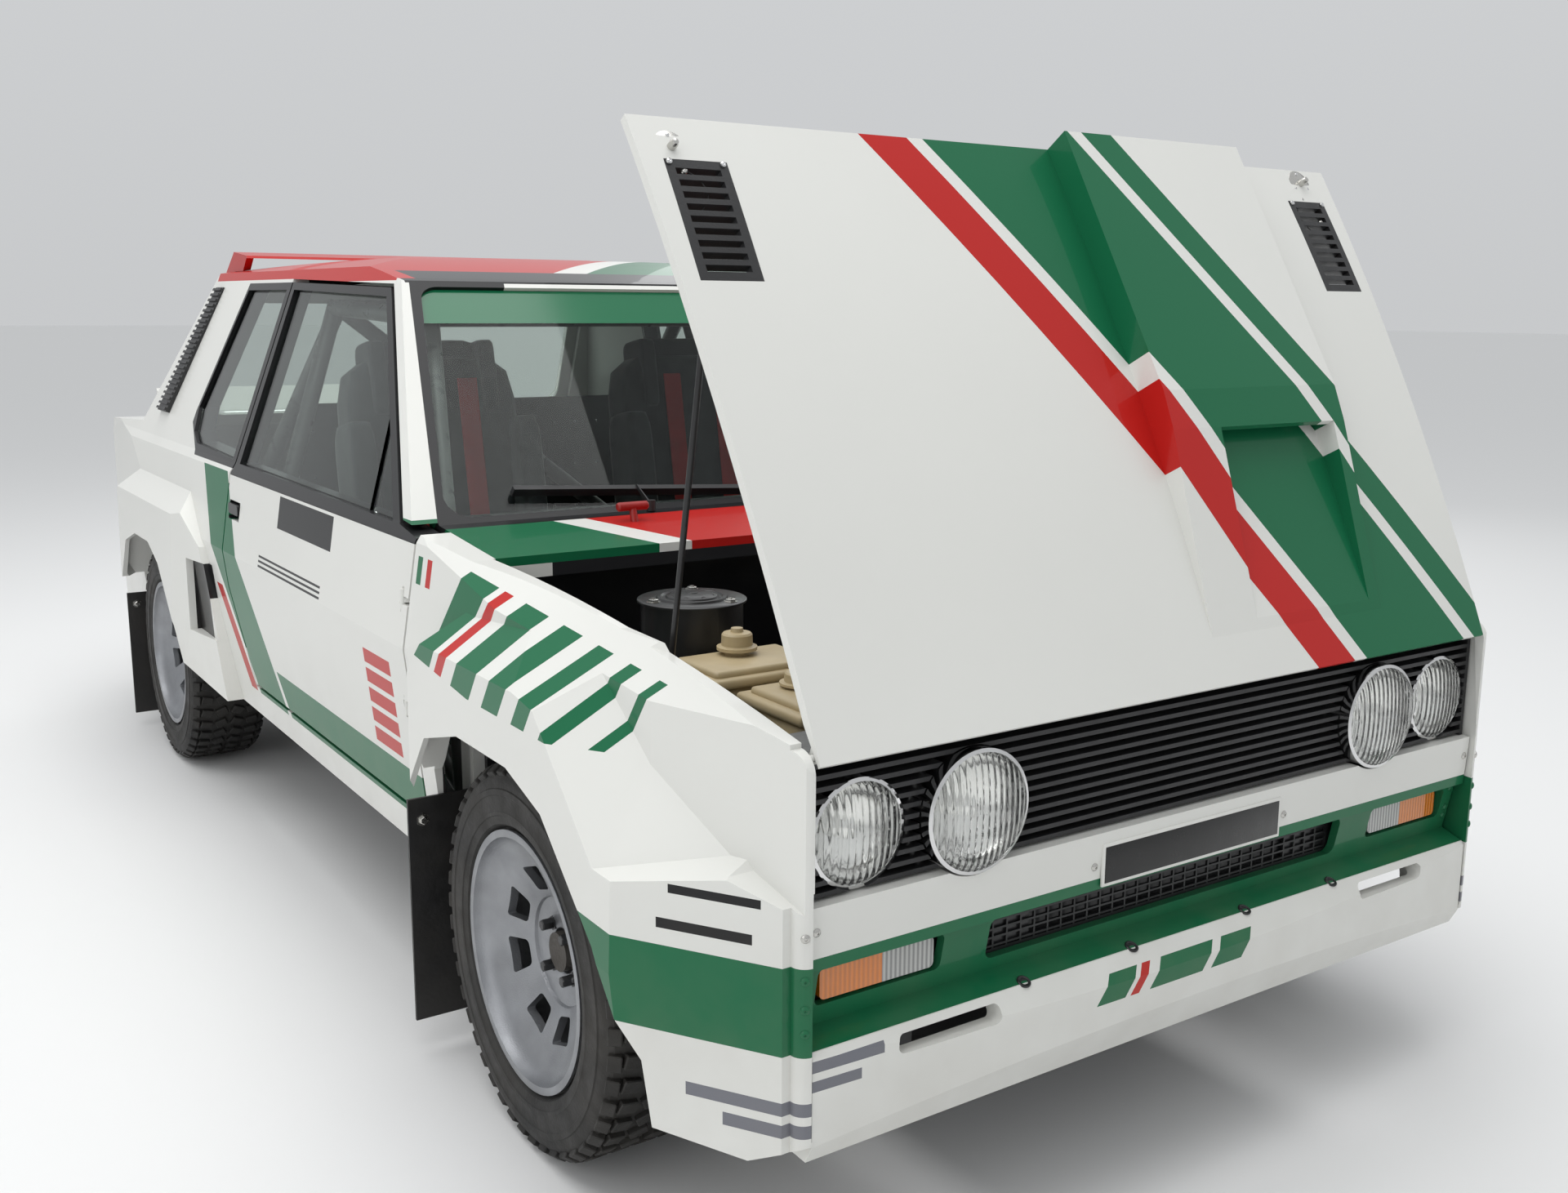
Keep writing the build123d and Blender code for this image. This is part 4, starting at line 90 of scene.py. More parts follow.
camera.matrix_world = Matrix.Translation(CAMERA_PLACE) @ turn.to_4x4()
bpy.context.scene.camera = camera
print("lens in mm", round(camera_data.lens, 2))

# %% [markdown]
# ## Tools for finishes
# A finish is a small tree of shader nodes that reads Object coordinates, so it needs no
# unwrapping and stays put when a door opens. The helpers below add one node or one idea each:
# a slab between two parallel planes, a ring round a point, a mix of two colours, a grain.


# %% Finish helpers
def new_finish(name, **sockets):
    """A material with one shader; each keyword sets the shader socket of that name."""
    material = bpy.data.materials.new(name)
    material.use_nodes = True
    shader = material.node_tree.nodes["Principled BSDF"]
    for socket, value in sockets.items():
        shader.inputs[socket.replace("_", " ").title().replace("Ior", "IOR")].default_value = value
    return material, material.node_tree, shader


def add_node(tree, kind, *values, **settings):
    """A node whose inputs are set or linked in order."""
    node = tree.nodes.new(kind)
    for key, value in settings.items():
        setattr(node, key, value)
    for index, value in enumerate(values):
        if isinstance(value, bpy.types.NodeSocket):
            tree.links.new(value, node.inputs[index])
        elif value is not None:
            node.inputs[index].default_value = value
    return node


def maths(tree, operation, *values):
    """The result of one product, sum or comparison."""
    return add_node(tree, "ShaderNodeMath", *values, operation=operation).outputs[0]


def remap(tree, value, *limits):
    """A value carried from one range to another, and held at its ends."""
    return add_node(tree, "ShaderNodeMapRange", value, *limits).outputs[0]


def distance_along(tree, place, direction):
    """How far a point lies along a direction."""
    return add_node(tree, "ShaderNodeVectorMath", place, direction, operation="DOT_PRODUCT").outputs["Value"]


def object_place(tree, mirrored=False):
    """Object coordinates, with the left side folded onto the right one where asked."""
    place = add_node(tree, "ShaderNodeTexCoord").outputs["Object"]
    if mirrored:
        x, y, z = add_node(tree, "ShaderNodeSeparateXYZ", place).outputs
        place = add_node(tree, "ShaderNodeCombineXYZ", x, maths(tree, "ABSOLUTE", y), z).outputs[0]
    return place


def slab(tree, place, normal, low, high):
    """One between two parallel planes, zero elsewhere."""
    along = distance_along(tree, place, normal)
    above_low, below_high = maths(tree, "GREATER_THAN", along, low), maths(tree, "LESS_THAN", along, high)
    return maths(tree, "MULTIPLY", above_low, below_high)


def stripe_mask(tree, place, slabs):
    """One inside every slab of a list of (normal, low, high)."""
    mask = slab(tree, place, *slabs[0])
    for limits in slabs[1:]:
        mask = maths(tree, "MULTIPLY", mask, slab(tree, place, *limits))
    return mask


def mix_colours(tree, share, under, over):
    """A colour that goes from under to over as the share goes from 0 to 1."""
    mix = tree.nodes.new("ShaderNodeMix")
    mix.data_type = "RGBA"
    for index, value in ((0, share), (6, under), (7, over)):
        if isinstance(value, bpy.types.NodeSocket):
            tree.links.new(value, mix.inputs[index])
        else:
            mix.inputs[index].default_value = value if index == 0 else (*value[:3], 1.0)
    return mix.outputs[2]


def grain(tree, place, scale, low=0.0, high=1.0):
    """Soft noise, remapped to run between two values."""
    noise = add_node(tree, "ShaderNodeTexNoise", place)
    noise.inputs["Scale"].default_value = scale
    noise.inputs["Detail"].default_value = 3.0
    return remap(tree, noise.outputs[0], 0.3, 0.7, low, high)


def add_bump(tree, shader, height, strength, distance=0.001):
    """A relief that only bends the light."""
    bump = tree.nodes.new("ShaderNodeBump")
    bump.inputs["Strength"].default_value = strength
    bump.inputs["Distance"].default_value = distance
    tree.links.new(height, bump.inputs["Height"])
    tree.links.new(bump.outputs[0], shader.inputs["Normal"])


def wear(material, *names):
    """Give CAD nodes a finish."""
    for name in names:
        slots = nodes[name].data.materials
        if len(slots):
            slots[0] = material
        else:
            slots.append(material)


print("CAD nodes to dress", len(nodes))

# %% [markdown]
# ## Paint
# Rally paint is white gloss over steel, with large fields of green and red laid on it. Each
# field is a few slabs of space, one inside the other, so its edges are sharp at any distance.
# A clear coat gives the wet gloss, and a thin veil of dust gathers low on the body. Black
# rubbers round the glass are fields too, and so is painted shade: near-black laid on the
# backs of the panels, where shade falls in the cabin, the wheel arches and the bay.

# %% Paint
WHITE = (0.73, 0.73, 0.695)
GREEN = (0.008, 0.132, 0.055)
RED = (0.47, 0.014, 0.011)
INK = (0.012, 0.012, 0.013)
GREY = (0.17, 0.175, 0.20)
# Painted shade: the near-black laid where shade falls inside the cabin, arches and bay.
PAINTED_SHADE = (0.020, 0.020, 0.022)
PAINT_DUST = (0.30, 0.26, 0.20)
DUST_TOP, DUST_FULL, DUST_SHARE = 0.62, 0.25, 0.16
UP = (0, 0, 1)
AHEAD = (1, 0, 0)
SIDEWAYS = (0, 1, 0)


def paint(name, fields=(), base=WHITE, mirrored=False, where=None):
    """Glossy paint with a list of (colour, slabs) fields over the base colour."""
    material, tree, shader = new_finish(
        name, roughness=0.35, specular_ior_level=0.12, coat_weight=0.30, coat_roughness=0.03
    )
    place = object_place(tree)
    folded = object_place(tree, mirrored) if mirrored else place
    colour = mix_colours(tree, grain(tree, place, 1.7), base, [c * 0.965 for c in base])
    for field_colour, slabs in fields:
        mask = stripe_mask(tree, folded, slabs)
        if where:
            mask = maths(tree, "MULTIPLY", mask, where(tree, place))
        colour = mix_colours(tree, mask, colour, field_colour)
    height = add_node(tree, "ShaderNodeSeparateXYZ", place).outputs["Z"]
    low_down = remap(tree, height, DUST_TOP, DUST_FULL, 0.0, DUST_SHARE)
    dust = maths(tree, "MULTIPLY", low_down, grain(tree, place, 9.0))
    tree.links.new(mix_colours(tree, dust, colour, PAINT_DUST), shader.inputs["Base Color"])
    add_bump(tree, shader, grain(tree, place, 220.0), 0.03, 0.0004)
    return material


def bars(lean, rows, *limits):
    """Bars side by side along one direction, all cut to the same limits."""
    return [(colour, [(lean, low, high), *limits]) for colour, low, high in rows]


white_paint = paint("white_paint")
red_paint = paint("red_paint", base=RED)
green_paint = paint("green_paint", base=GREEN)
wear(white_paint, "tail_panel", "rear_bumper", "boot_lid")
wear(red_paint, "roof_spoiler")
print("plain paints done")

# %% Body sides and doors
STRIPE_SIDE = Vector((0.791, 0, 0.6115)).normalized()
BELT_LINE = (UP, 0.384, 0.907)
SIDE_FIELDS = [
    (GREEN, [(STRIPE_SIDE, 0.095, 0.283), BELT_LINE]),
    (RED, [(STRIPE_SIDE, 0.030, 0.075), (UP, 0.384, 0.62)]),
    (GREEN, [(UP, 0.384, 0.478), (STRIPE_SIDE, 0.303, 2.0)]),
]
QUARTER_REAR = Vector((-0.936, 0, 0.352))
QUARTER_CORNER = Vector((-0.476, 0, -0.879))
QUARTER_FIELDS = [
    (INK, [(AHEAD, -0.606, -0.466), (UP, 0.470, 0.658), (SIDEWAYS, 0, 0.8236)]),
    (INK, [(UP, 0.916, 1.362), (AHEAD, -0.856, -0.30), (QUARTER_REAR, -5, 1.161),
           (QUARTER_CORNER, -5, -0.464)]),
]
# Painted shade over the whole inside of the cabin.
CABIN_PAINTED_SHADE = (PAINTED_SHADE, [(AHEAD, -0.98, 0.80), (UP, 0.30, 1.383), (SIDEWAYS, -0.565, 0.565)])
body_side_paint = paint(
    "body_side_paint",
    [
        *SIDE_FIELDS,
        *QUARTER_FIELDS,
        # Painted shade on the inner skin, behind the front wheel arch and round the rear one.
        (PAINTED_SHADE, [(AHEAD, -1.0, 0.9), (UP, 0.42, 0.93), (SIDEWAYS, 0, 0.735)]),
        CABIN_PAINTED_SHADE,
        (PAINTED_SHADE, [(AHEAD, 0.956, 1.1), (UP, 0.15, 0.70), (SIDEWAYS, 0, 0.9)]),
        (PAINTED_SHADE, [(AHEAD, -1.42, -0.72), (UP, 0.15, 0.70), (SIDEWAYS, 0, 0.70)]),
    ],
    mirrored=True,
)
door_paint = paint(
    "door_paint",
    [
        *SIDE_FIELDS,
        (INK, [(AHEAD, 0.12, 0.50), (UP, 0.826, 0.896)]),
        *[(INK, [(AHEAD, 0.0, 0.46), (UP, 0.724 + 0.011 * row, 0.729 + 0.011 * row)]) for row in range(3)],
        *[(RED, [(AHEAD, 0.715, 0.862), (UP, 0.492 + 0.039 * row, 0.520 + 0.039 * row)]) for row in range(5)],
        (INK, [(UP, 0.902, 1.40), (SIDEWAYS, 0.5, 2)]),
        (INK, [(AHEAD, -0.292, -0.198), (UP, 0.800, 0.845)]),
        # Painted shade on the inside of the door.
        (PAINTED_SHADE, [(UP, 0.45, 0.93), (SIDEWAYS, 0, 0.742)]),
    ],
    mirrored=True,
)
wear(body_side_paint, "body_side_right", "body_side_left")
wear(door_paint, "door_right", "door_left")
print("sides and doors painted")

# %% Wings and nose
MOTIF_LEAN = Vector((0.8236, 0, -0.5672))
MOTIF_TOP = Vector((0.1096, 0, 0.994))
MOTIF_BARS = [
    (GREEN, 0.470, 0.560), (RED, 0.578, 0.604), (GREEN, 0.640, 0.705), (GREEN, 0.745, 0.795),
    (GREEN, 0.835, 0.872), (GREEN, 0.912, 0.938), (GREEN, 0.978, 0.996),
]
wing_paint = paint(
    "wing_paint",
    [
        (GREEN, [(UP, 0.398, 0.516), (AHEAD, 1.66, 2.2)]),
        *bars(MOTIF_LEAN, MOTIF_BARS, (MOTIF_TOP, 0.865, 1.012), (UP, 0.722, 0.9)),
        (GREEN, [(AHEAD, 0.978, 1.000), (UP, 0.838, 0.886)]),
        (RED, [(AHEAD, 1.022, 1.044), (UP, 0.838, 0.886)]),
        (INK, [(AHEAD, 1.895, 2.005), (UP, 0.588, 0.600)]),
        (INK, [(AHEAD, 1.880, 1.995), (UP, 0.539, 0.553)]),
        (GREY, [(AHEAD, 1.915, 2.10), (UP, 0.318, 0.336)]),
        (GREY, [(AHEAD, 1.960, 2.10), (UP, 0.288, 0.306)]),
        # Painted shade inside the wing, over the wheel arch.
        (PAINTED_SHADE, [(AHEAD, 0.90, 1.76), (UP, 0.15, 0.74), (SIDEWAYS, 0, 0.705)]),
        (PAINTED_SHADE, [(AHEAD, 0.90, 1.10), (UP, 0.15, 0.72), (SIDEWAYS, 0, 0.778)]),
    ],
    mirrored=True,
)
LIP_LEAN = Vector((0, 0.80, -0.60))
LIP_BARS = [(GREEN, -0.375, -0.330), (RED, -0.322, -0.308), (GREEN, -0.290, -0.200), (GREEN, -0.185, -0.130)]
bumper_paint = paint(
    "bumper_paint",
    [
        (GREEN, [(UP, 0.4005, 0.520)]),
        *bars(LIP_LEAN, LIP_BARS, (UP, 0.340, 0.380)),
        (GREY, [(SIDEWAYS, -0.70, -0.585), (UP, 0.374, 0.390)]),
        (GREY, [(SIDEWAYS, -0.70, -0.620), (UP, 0.348, 0.363)]),
    ],
)
wear(wing_paint, "front_wing_right", "front_wing_left")
wear(bumper_paint, "bumper_panel")
print("wings and nose painted")

# %% Roof and scuttle
SCREEN_OUT = Vector((0.680, 0, 0.733))
SCREEN_RISE = Vector((-0.733, 0, 0.680))
SCREEN_SIDES = [Vector((-0.150, y, 0.139)) for y in (0.979, -0.979)]
SCREEN_SKIN = (SCREEN_OUT, 1.262, 1.34)
ROOF_EDGE = Vector((0.62, 0.78, 0)).normalized()
roof_paint = paint(
    "roof_paint",
    [
        (RED, [(ROOF_EDGE, -3, 0.02)]),
        (GREEN, [(ROOF_EDGE, 0.085, 3)]),
        (WHITE, [(SIDEWAYS, -0.9, -0.606)]),
        (WHITE, [(SIDEWAYS, 0.606, 0.9)]),
        # Painted shade on the inside of the roof.
        CABIN_PAINTED_SHADE,
        (INK, [(SCREEN_RISE, 0.598, 0.622), SCREEN_SKIN, (SIDEWAYS, -0.60, 0.60)]),
    ],
)
COWL_EDGE = Vector((-0.42, 0.91, 0)).normalized()
COWL_TOP = (UP, 0.885, 0.935)
cowl_paint = paint(
    "cowl_paint",
    [
        (GREEN, [(COWL_EDGE, -2, -0.86), COWL_TOP]),
        (RED, [(COWL_EDGE, -0.80, 0.2), COWL_TOP]),
        # Painted shade on the scuttle below its top, down in the bay.
        (PAINTED_SHADE, [(UP, 0.30, 0.885), (AHEAD, 0.80, 1.30), (SIDEWAYS, -0.62, 0.62)]),
        (INK, [(SCREEN_RISE, -0.060, 0.0), SCREEN_SKIN, (SIDEWAYS, -0.71, 0.71)]),
        (INK, [(SCREEN_RISE, 0.600, 0.66), (SCREEN_OUT, 1.250, 1.36), (SIDEWAYS, -0.60, 0.60)]),
        *[(INK, [(side, 0.5, 0.702), SCREEN_SKIN, (SCREEN_RISE, -0.06, 0.64)]) for side in SCREEN_SIDES],
    ],
)
wear(roof_paint, "roof_panel")
wear(cowl_paint, "scuttle")
print("roof and scuttle painted")

# %% [markdown]
# ## Bonnet paint
# The stripes slant over the open bonnet, so their slabs are set out in its own directions:
# back along the skin, across it, and out of it. The underside stays white.

# %% Bonnet paint
BONNET_HINGE = Vector((2.034, 0, 0.780))
CLOSED_SLOPE, OPENED_BY = 7.06, 55
opening = radians(OPENED_BY + CLOSED_SLOPE)
ALONG_BONNET = Vector((-cos(opening), 0, sin(opening)))
BONNET_OUT = Vector((sin(opening), 0, cos(opening)))
FRONT_OVERHANG = 0.01465
BONNET_LENGTH, BONNET_CROWN, SKIN_MIDDLE = 0.888, 0.020, 0.0049
SLANT_ALONG, SLANT_ACROSS = 0.55, 0.835
hinge_along = BONNET_HINGE.dot(ALONG_BONNET)
slant = (ALONG_BONNET * SLANT_ALONG + Vector((0, SLANT_ACROSS, 0))).normalized()
centre = hinge_along * SLANT_ALONG / hypot(SLANT_ALONG, SLANT_ACROSS)
BONNET_BARS = [
    (GREEN, centre + 0.30, centre + 0.52),
    (RED, centre + 0.20, centre + 0.275),
    (GREEN, centre + 0.545, centre + 0.60),
]


def outer_skin(tree, place):
    """One on the outside of the curved bonnet: above the middle of its skin, which is an arc."""
    near = hinge_along - FRONT_OVERHANG
    share = remap(tree, distance_along(tree, place, ALONG_BONNET), near, near + BONNET_LENGTH, -1.0, 1.0)
    level = BONNET_HINGE.dot(BONNET_OUT) + SKIN_MIDDLE
    limit = remap(tree, maths(tree, "MULTIPLY", share, share), 0.0, 1.0, level + BONNET_CROWN, level)
    return maths(tree, "GREATER_THAN", distance_along(tree, place, BONNET_OUT), limit)


bonnet_paint = paint("bonnet_paint", bars(slant, BONNET_BARS), where=outer_skin)
wear(bonnet_paint, "bonnet")
print("bonnet stands at", OPENED_BY, "degrees")

# %% [markdown]
# ## Plain finishes
# Most other parts are black plastic, rubber, bare metal or cast iron. Each gets its own
# roughness, a relief at the right scale and a little dust, since none of them is one flat grey.

# %% Plain finishes
GREY_DUST = (0.22, 0.19, 0.15)


def plain(name, colour, roughness, scale, strength, metallic=0.0, dusty=0.0, spread=0.75):
    """A worn solid finish: the colour varies, dust lies on it, and fine grain breaks its gloss."""
    material, tree, shader = new_finish(name, roughness=roughness, metallic=metallic)
    place = object_place(tree)
    mottled = mix_colours(tree, grain(tree, place, 14.0), colour, [c * spread for c in colour])
    if dusty:
        mottled = mix_colours(tree, grain(tree, place, 5.0, 0.0, dusty), mottled, GREY_DUST)
    tree.links.new(mottled, shader.inputs["Base Color"])
    gloss = grain(tree, place, 30.0, roughness * 0.85, min(1.0, roughness * 1.15))
    tree.links.new(gloss, shader.inputs["Roughness"])
    add_bump(tree, shader, grain(tree, place, scale), strength)
    return material


black_trim = plain("black_trim", (0.018, 0.018, 0.019), 0.42, 300.0, 0.12)
soft_rubber = plain("soft_rubber", (0.012, 0.012, 0.013), 0.62, 260.0, 0.2, dusty=0.06)
flap_rubber = plain("flap_rubber", (0.010, 0.010, 0.011), 0.5, 120.0, 0.15, dusty=0.08)
tyre_rubber = plain("tyre_rubber", (0.009, 0.009, 0.009), 0.66, 180.0, 0.3, dusty=0.10)
cast_alloy = plain("cast_alloy", (0.34, 0.35, 0.37), 0.42, 420.0, 0.25, metallic=0.85, dusty=0.08)
black_metal = plain("black_metal", (0.016, 0.016, 0.017), 0.33, 90.0, 0.12)
cast_iron = plain("cast_iron", (0.055, 0.050, 0.046), 0.6, 150.0, 0.5, metallic=0.4, dusty=0.2)
bare_steel = plain("bare_steel", (0.42, 0.41, 0.40), 0.35, 200.0, 0.12, metallic=1.0)
bright_metal = plain("bright_metal", (0.72, 0.72, 0.72), 0.12, 300.0, 0.03, metallic=1.0, spread=0.95)
tank_plastic = plain("tank_plastic", (0.50, 0.40, 0.235), 0.45, 60.0, 0.1, spread=0.88)
dash_vinyl = plain("dash_vinyl", (0.020, 0.020, 0.021), 0.6, 500.0, 0.35)
cage_paint = plain("cage_paint", (0.16, 0.16, 0.16), 0.3, 60.0, 0.05)
red_leaf = plain("red_leaf", (0.36, 0.012, 0.010), 0.35, 60.0, 0.05)
for finish, names in (
    (black_trim, ("grille", "lower_grille", "bonnet_vents", "wipers", "pillar_louvres")),
    (flap_rubber, ("mudflaps",)),
    (tyre_rubber, [name for name in nodes if name.startswith("tyre_")]),
    (cast_alloy, [name for name in nodes if name.startswith("rim_")]),
    (black_metal, ("inner_wings", "front_panel", "radiator", "bonnet_prop", "front_suspension")),
    (cast_iron, ("engine_gearbox", "rear_axle", "knuckle_right", "knuckle_left")),
    (bare_steel, ("exhaust",)),
    (tank_plastic, ("fluid_tanks",)),
    (dash_vinyl, ("dashboard", "steering_wheel", "bucket_seats", "floor_pan")),
    (cage_paint, ("roll_cage",)),
):
    wear(finish, *names)
print("plain finishes done")

# %% [markdown]
# ## Glass
# Car glass is clear with a green edge. It bends light very little, so a thin slab that lets
# shadow rays pass keeps the cabin lit, and the sun strip is a green field along its top.


# %% Glass
def pass_shadows(tree, surface, tint):
    """A clear surface that shadow rays go straight through."""
    passing = add_node(tree, "ShaderNodeBsdfTransparent", (*tint, 1.0)).outputs[0]
    shadow = add_node(tree, "ShaderNodeLightPath").outputs["Is Shadow Ray"]
    return add_node(tree, "ShaderNodeMixShader", shadow, surface, passing).outputs[0]


def show(tree, surface):
    """Make a surface the one that the material shows."""
    tree.links.new(surface, tree.nodes["Material Output"].inputs["Surface"])


def clear_glass(name, tint, fields=()):
    """Clear glazing that passes light, with opaque coloured fields where asked."""
    material, tree, shader = new_finish(
        name, roughness=0.0, ior=1.22, transmission_weight=1.0, base_color=(*tint, 1.0)
    )
    place = object_place(tree)
    surface = pass_shadows(tree, shader.outputs[0], tint)
    for field_colour, slabs in fields:
        film = tree.nodes.new("ShaderNodeBsdfPrincipled")
        film.inputs["Base Color"].default_value = (*field_colour, 1.0)
        film.inputs["Roughness"].default_value = 0.12
        mask = stripe_mask(tree, place, slabs)
        surface = add_node(tree, "ShaderNodeMixShader", mask, surface, film.outputs[0]).outputs[0]
    show(tree, surface)
    return material


window_glass = clear_glass("window_glass", (0.66, 0.72, 0.69))
sun_strip = (GREEN, [(UP, 1.275, 1.40), (AHEAD, 0.30, 1.0)])
screen_glass = clear_glass("screen_glass", (0.70, 0.76, 0.73), [sun_strip])
lamp_glass = plain("lamp_glass", (0.62, 0.64, 0.64), 0.12, 80.0, 0.1)
tail_lens = paint(
    "tail_lens",
    [
        ((0.75, 0.24, 0.015), [(SIDEWAYS, 0.56, 2)]),
        ((0.55, 0.55, 0.53), [(SIDEWAYS, 0, 0.485)]),
        (INK, [(UP, 0.787, 0.792)]),
    ],
    base=(0.40, 0.010, 0.008),
    mirrored=True,
)
wear(window_glass, "door_glass_right", "door_glass_left")
wear(screen_glass, "cabin_glass")
wear(tail_lens, "tail_lamps")
wear(lamp_glass, "headlamps")
print("glass done")

# %% [markdown]
# ## Modelling tools
# Every added piece starts as a primitive at its size and place and is worked on in edit mode.
# Round pieces come from one ring that is extruded along a profile, as on a lathe. A piece
# rides on the body that carries it, so it follows doors, wheels and the bonnet.

# %% Modelling helpers
SIDES = (("right", -1), ("left", 1))
TOUCHING = 0.00001


def start():
    """Nothing selected, so that each operator works on its own piece alone."""
    bpy.ops.object.select_all(action="DESELECT")


def only(piece):
    """One piece selected and active."""
    start()
    piece.select_set(True)
    bpy.context.view_layer.objects.active = piece


def edit_all():
    """Edit mode, with the whole mesh selected."""
    bpy.ops.object.mode_set(mode="EDIT")
    bpy.ops.mesh.select_all(action="SELECT")


def leave_edit():
    """Object mode again, with the piece that was edited."""
    bpy.ops.object.mode_set(mode="OBJECT")
    return bpy.context.active_object


def settle(name, material, body, smooth=35):
    """Name, finish and ride: the last step of every piece."""
    piece = bpy.context.active_object
    piece.name = name
    piece.data.name = name
    bpy.ops.object.transform_apply(location=True, rotation=True, scale=True)
    piece.data.materials.append(material)
    if smooth:
        bpy.ops.object.shade_smooth_by_angle(angle=radians(smooth))
    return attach(piece, body)


def block(name, material, body, place, size, bevel, segments=2, turn=(0, 0, 0)):
    """A box with rounded edges."""
    start()
    bpy.ops.mesh.primitive_cube_add(size=1, location=place, rotation=turn, scale=size)
    bpy.ops.object.transform_apply(location=False, rotation=False, scale=True)
    edit_all()
    bpy.ops.mesh.bevel(offset=bevel, segments=segments, affect="EDGES")
    leave_edit()
    return settle(name, material, body)


def facing(direction):
    """Rotation that points +Z along a direction."""
    return Vector(direction).to_track_quat("Z", "Y").to_euler()


def turned(name, material, body, place, direction, profile, steps):
    """A lathe shape from (radius, distance) pairs, its axis along a direction."""
    start()
    radius, distance = profile[0]
    bpy.ops.mesh.primitive_circle_add(vertices=steps, radius=radius, fill_type="NOTHING")
    edit_all()
    bpy.ops.transform.translate(value=(0, 0, distance))
    for next_radius, next_distance in profile[1:]:
        bpy.ops.mesh.extrude_region_move(TRANSFORM_OT_translate={"value": (0, 0, next_distance - distance)})
        grow = next_radius / radius
        bpy.ops.transform.resize(value=(grow, grow, 1), center_override=(0, 0, next_distance))
        radius, distance = next_radius, next_distance
    bpy.ops.mesh.select_all(action="SELECT")
    bpy.ops.mesh.normals_make_consistent(inside=False)
    piece = leave_edit()
    piece.location = place
    piece.rotation_euler = facing(direction)
    return settle(name, material, body)


def joined(name, pieces):
    """Several pieces made into one, with the body of the first."""
    body = pieces[0]["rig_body"]
    start()
    for piece in pieces:
        piece.parent = None
        piece.matrix_world = Matrix.Identity(4)
        piece.select_set(True)
    bpy.context.view_layer.objects.active = pieces[0]
    bpy.ops.object.join()
    whole = bpy.context.active_object
    whole.name = name
    whole.data.name = name
    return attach(whole, body)


def angles_round(count, first=0):
    """Even steps round a circle, in radians."""
    return [radians(first + 360 / count * step) for step in range(count)]


print("modelling helpers ready")

# %% [markdown]
# ## Tyres
# A gravel tyre is a smooth carcass with rings moulded in its side and rows of rubber blocks
# round it. One block per row is modelled and then spun round the axle with copies, which costs
# little and keeps the rows even. The two middle rows lean opposite ways, and so do the two
# beside them.

# %% Tyres with tread blocks
AXLES = (("front", 1.42), ("rear", -1.07))
HALF_TRACK, AXLE_HEIGHT = 0.713, 0.312
WHEELS = [
    (end + "_" + tag, (x, side * HALF_TRACK, AXLE_HEIGHT), side) for end, x in AXLES for tag, side in SIDES
]
CARCASS = [
    (0.1915, -0.084), (0.2072, -0.0862), (0.215, -0.098), (0.250, -0.1022), (0.284, -0.0985), (0.298, -0.088),
    (0.3035, -0.066), (0.3035, 0.066), (0.298, 0.088), (0.284, 0.0985), (0.272, 0.1002), (0.2705, 0.1022),
    (0.262, 0.1022), (0.2605, 0.1008), (0.236, 0.1012), (0.2345, 0.1022), (0.229, 0.1018), (0.2275, 0.1000),
    (0.215, 0.0972), (0.2072, 0.0862), (0.1915, 0.084),
]
BLOCKS_ROUND = 46
TREAD_RADIUS, TREAD_HEIGHT = 0.3065, 0.0102
TREAD_ROWS = [
    # distance along the axle, width, length round the tyre, lean in degrees
    (-0.020, 0.030, 0.024, 24),
    (0.022, 0.030, 0.024, -24),
    (-0.060, 0.030, 0.022, -14),
    (0.062, 0.030, 0.022, 14),
]
SHOULDER_RADIUS, SHOULDER_HEIGHT = 0.2975, 0.014
SHOULDER_WIDTH, SHOULDER_LENGTH = 0.022, 0.026
SHOULDER_ROWS = [(-0.0865, -38), (0.0865, 38)]


def tread_row(along, width, length, lean, radius, height, tilt=0.0):
    """One row of blocks round the +Z axis."""
    start()
    bpy.ops.mesh.primitive_cube_add(size=1)
    edit_all()
    bpy.ops.transform.resize(value=(height, length, width))
    bpy.ops.mesh.bevel(offset=0.0016, segments=1, affect="EDGES")
    bpy.ops.transform.rotate(value=radians(lean), orient_axis="X", center_override=(0, 0, 0))
    bpy.ops.transform.rotate(value=radians(tilt), orient_axis="Y", center_override=(0, 0, 0))
    bpy.ops.transform.translate(value=(radius, 0, along))
    bpy.ops.mesh.spin(steps=BLOCKS_ROUND, dupli=True, angle=2 * pi, center=(0, 0, 0), axis=(0, 0, 1))
    bpy.ops.mesh.select_all(action="SELECT")
    bpy.ops.mesh.remove_doubles(threshold=TOUCHING)
    bpy.ops.mesh.normals_make_consistent(inside=False)
    return leave_edit()


def row_on_axle(row, axle):
    """A row of blocks moved to its wheel."""
    corner, hub, outward = axle
    row.location = hub
    row.rotation_euler = facing((0, outward, 0))
    only(row)
    return settle(row.name, tyre_rubber, corner + "_wheel", smooth=0)


def round_axle(name, material, axle, profile, steps):
    """A lathe shape on a wheel's own axis."""
    corner, hub, outward = axle
    return turned(name, material, corner + "_wheel", hub, (0, outward, 0), profile, steps)


for axle in WHEELS:
    corner = axle[0]
    rows = [round_axle("carcass", tyre_rubber, axle, CARCASS, 72)]
    for along, width, length, lean in TREAD_ROWS:
        rows.append(row_on_axle(tread_row(along, width, length, lean, TREAD_RADIUS, TREAD_HEIGHT), axle))
    for along, tilt in SHOULDER_ROWS:
        row = tread_row(along, SHOULDER_WIDTH, SHOULDER_LENGTH, 0, SHOULDER_RADIUS, SHOULDER_HEIGHT, tilt)
        rows.append(row_on_axle(row, axle))
    tyre = joined("treaded_tyre_" + corner, rows)
    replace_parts(tyre, "tyre_" + corner)
print("tyre faces", len(tyre.data.polygons))

# %% [markdown]
# ## Cast wheels
# The wheel is a lathe shape with a dished web, and eight slots in four pairs are cut through
# it by one difference with tapered, round-edged cutters. A brake disc shows in the slots.

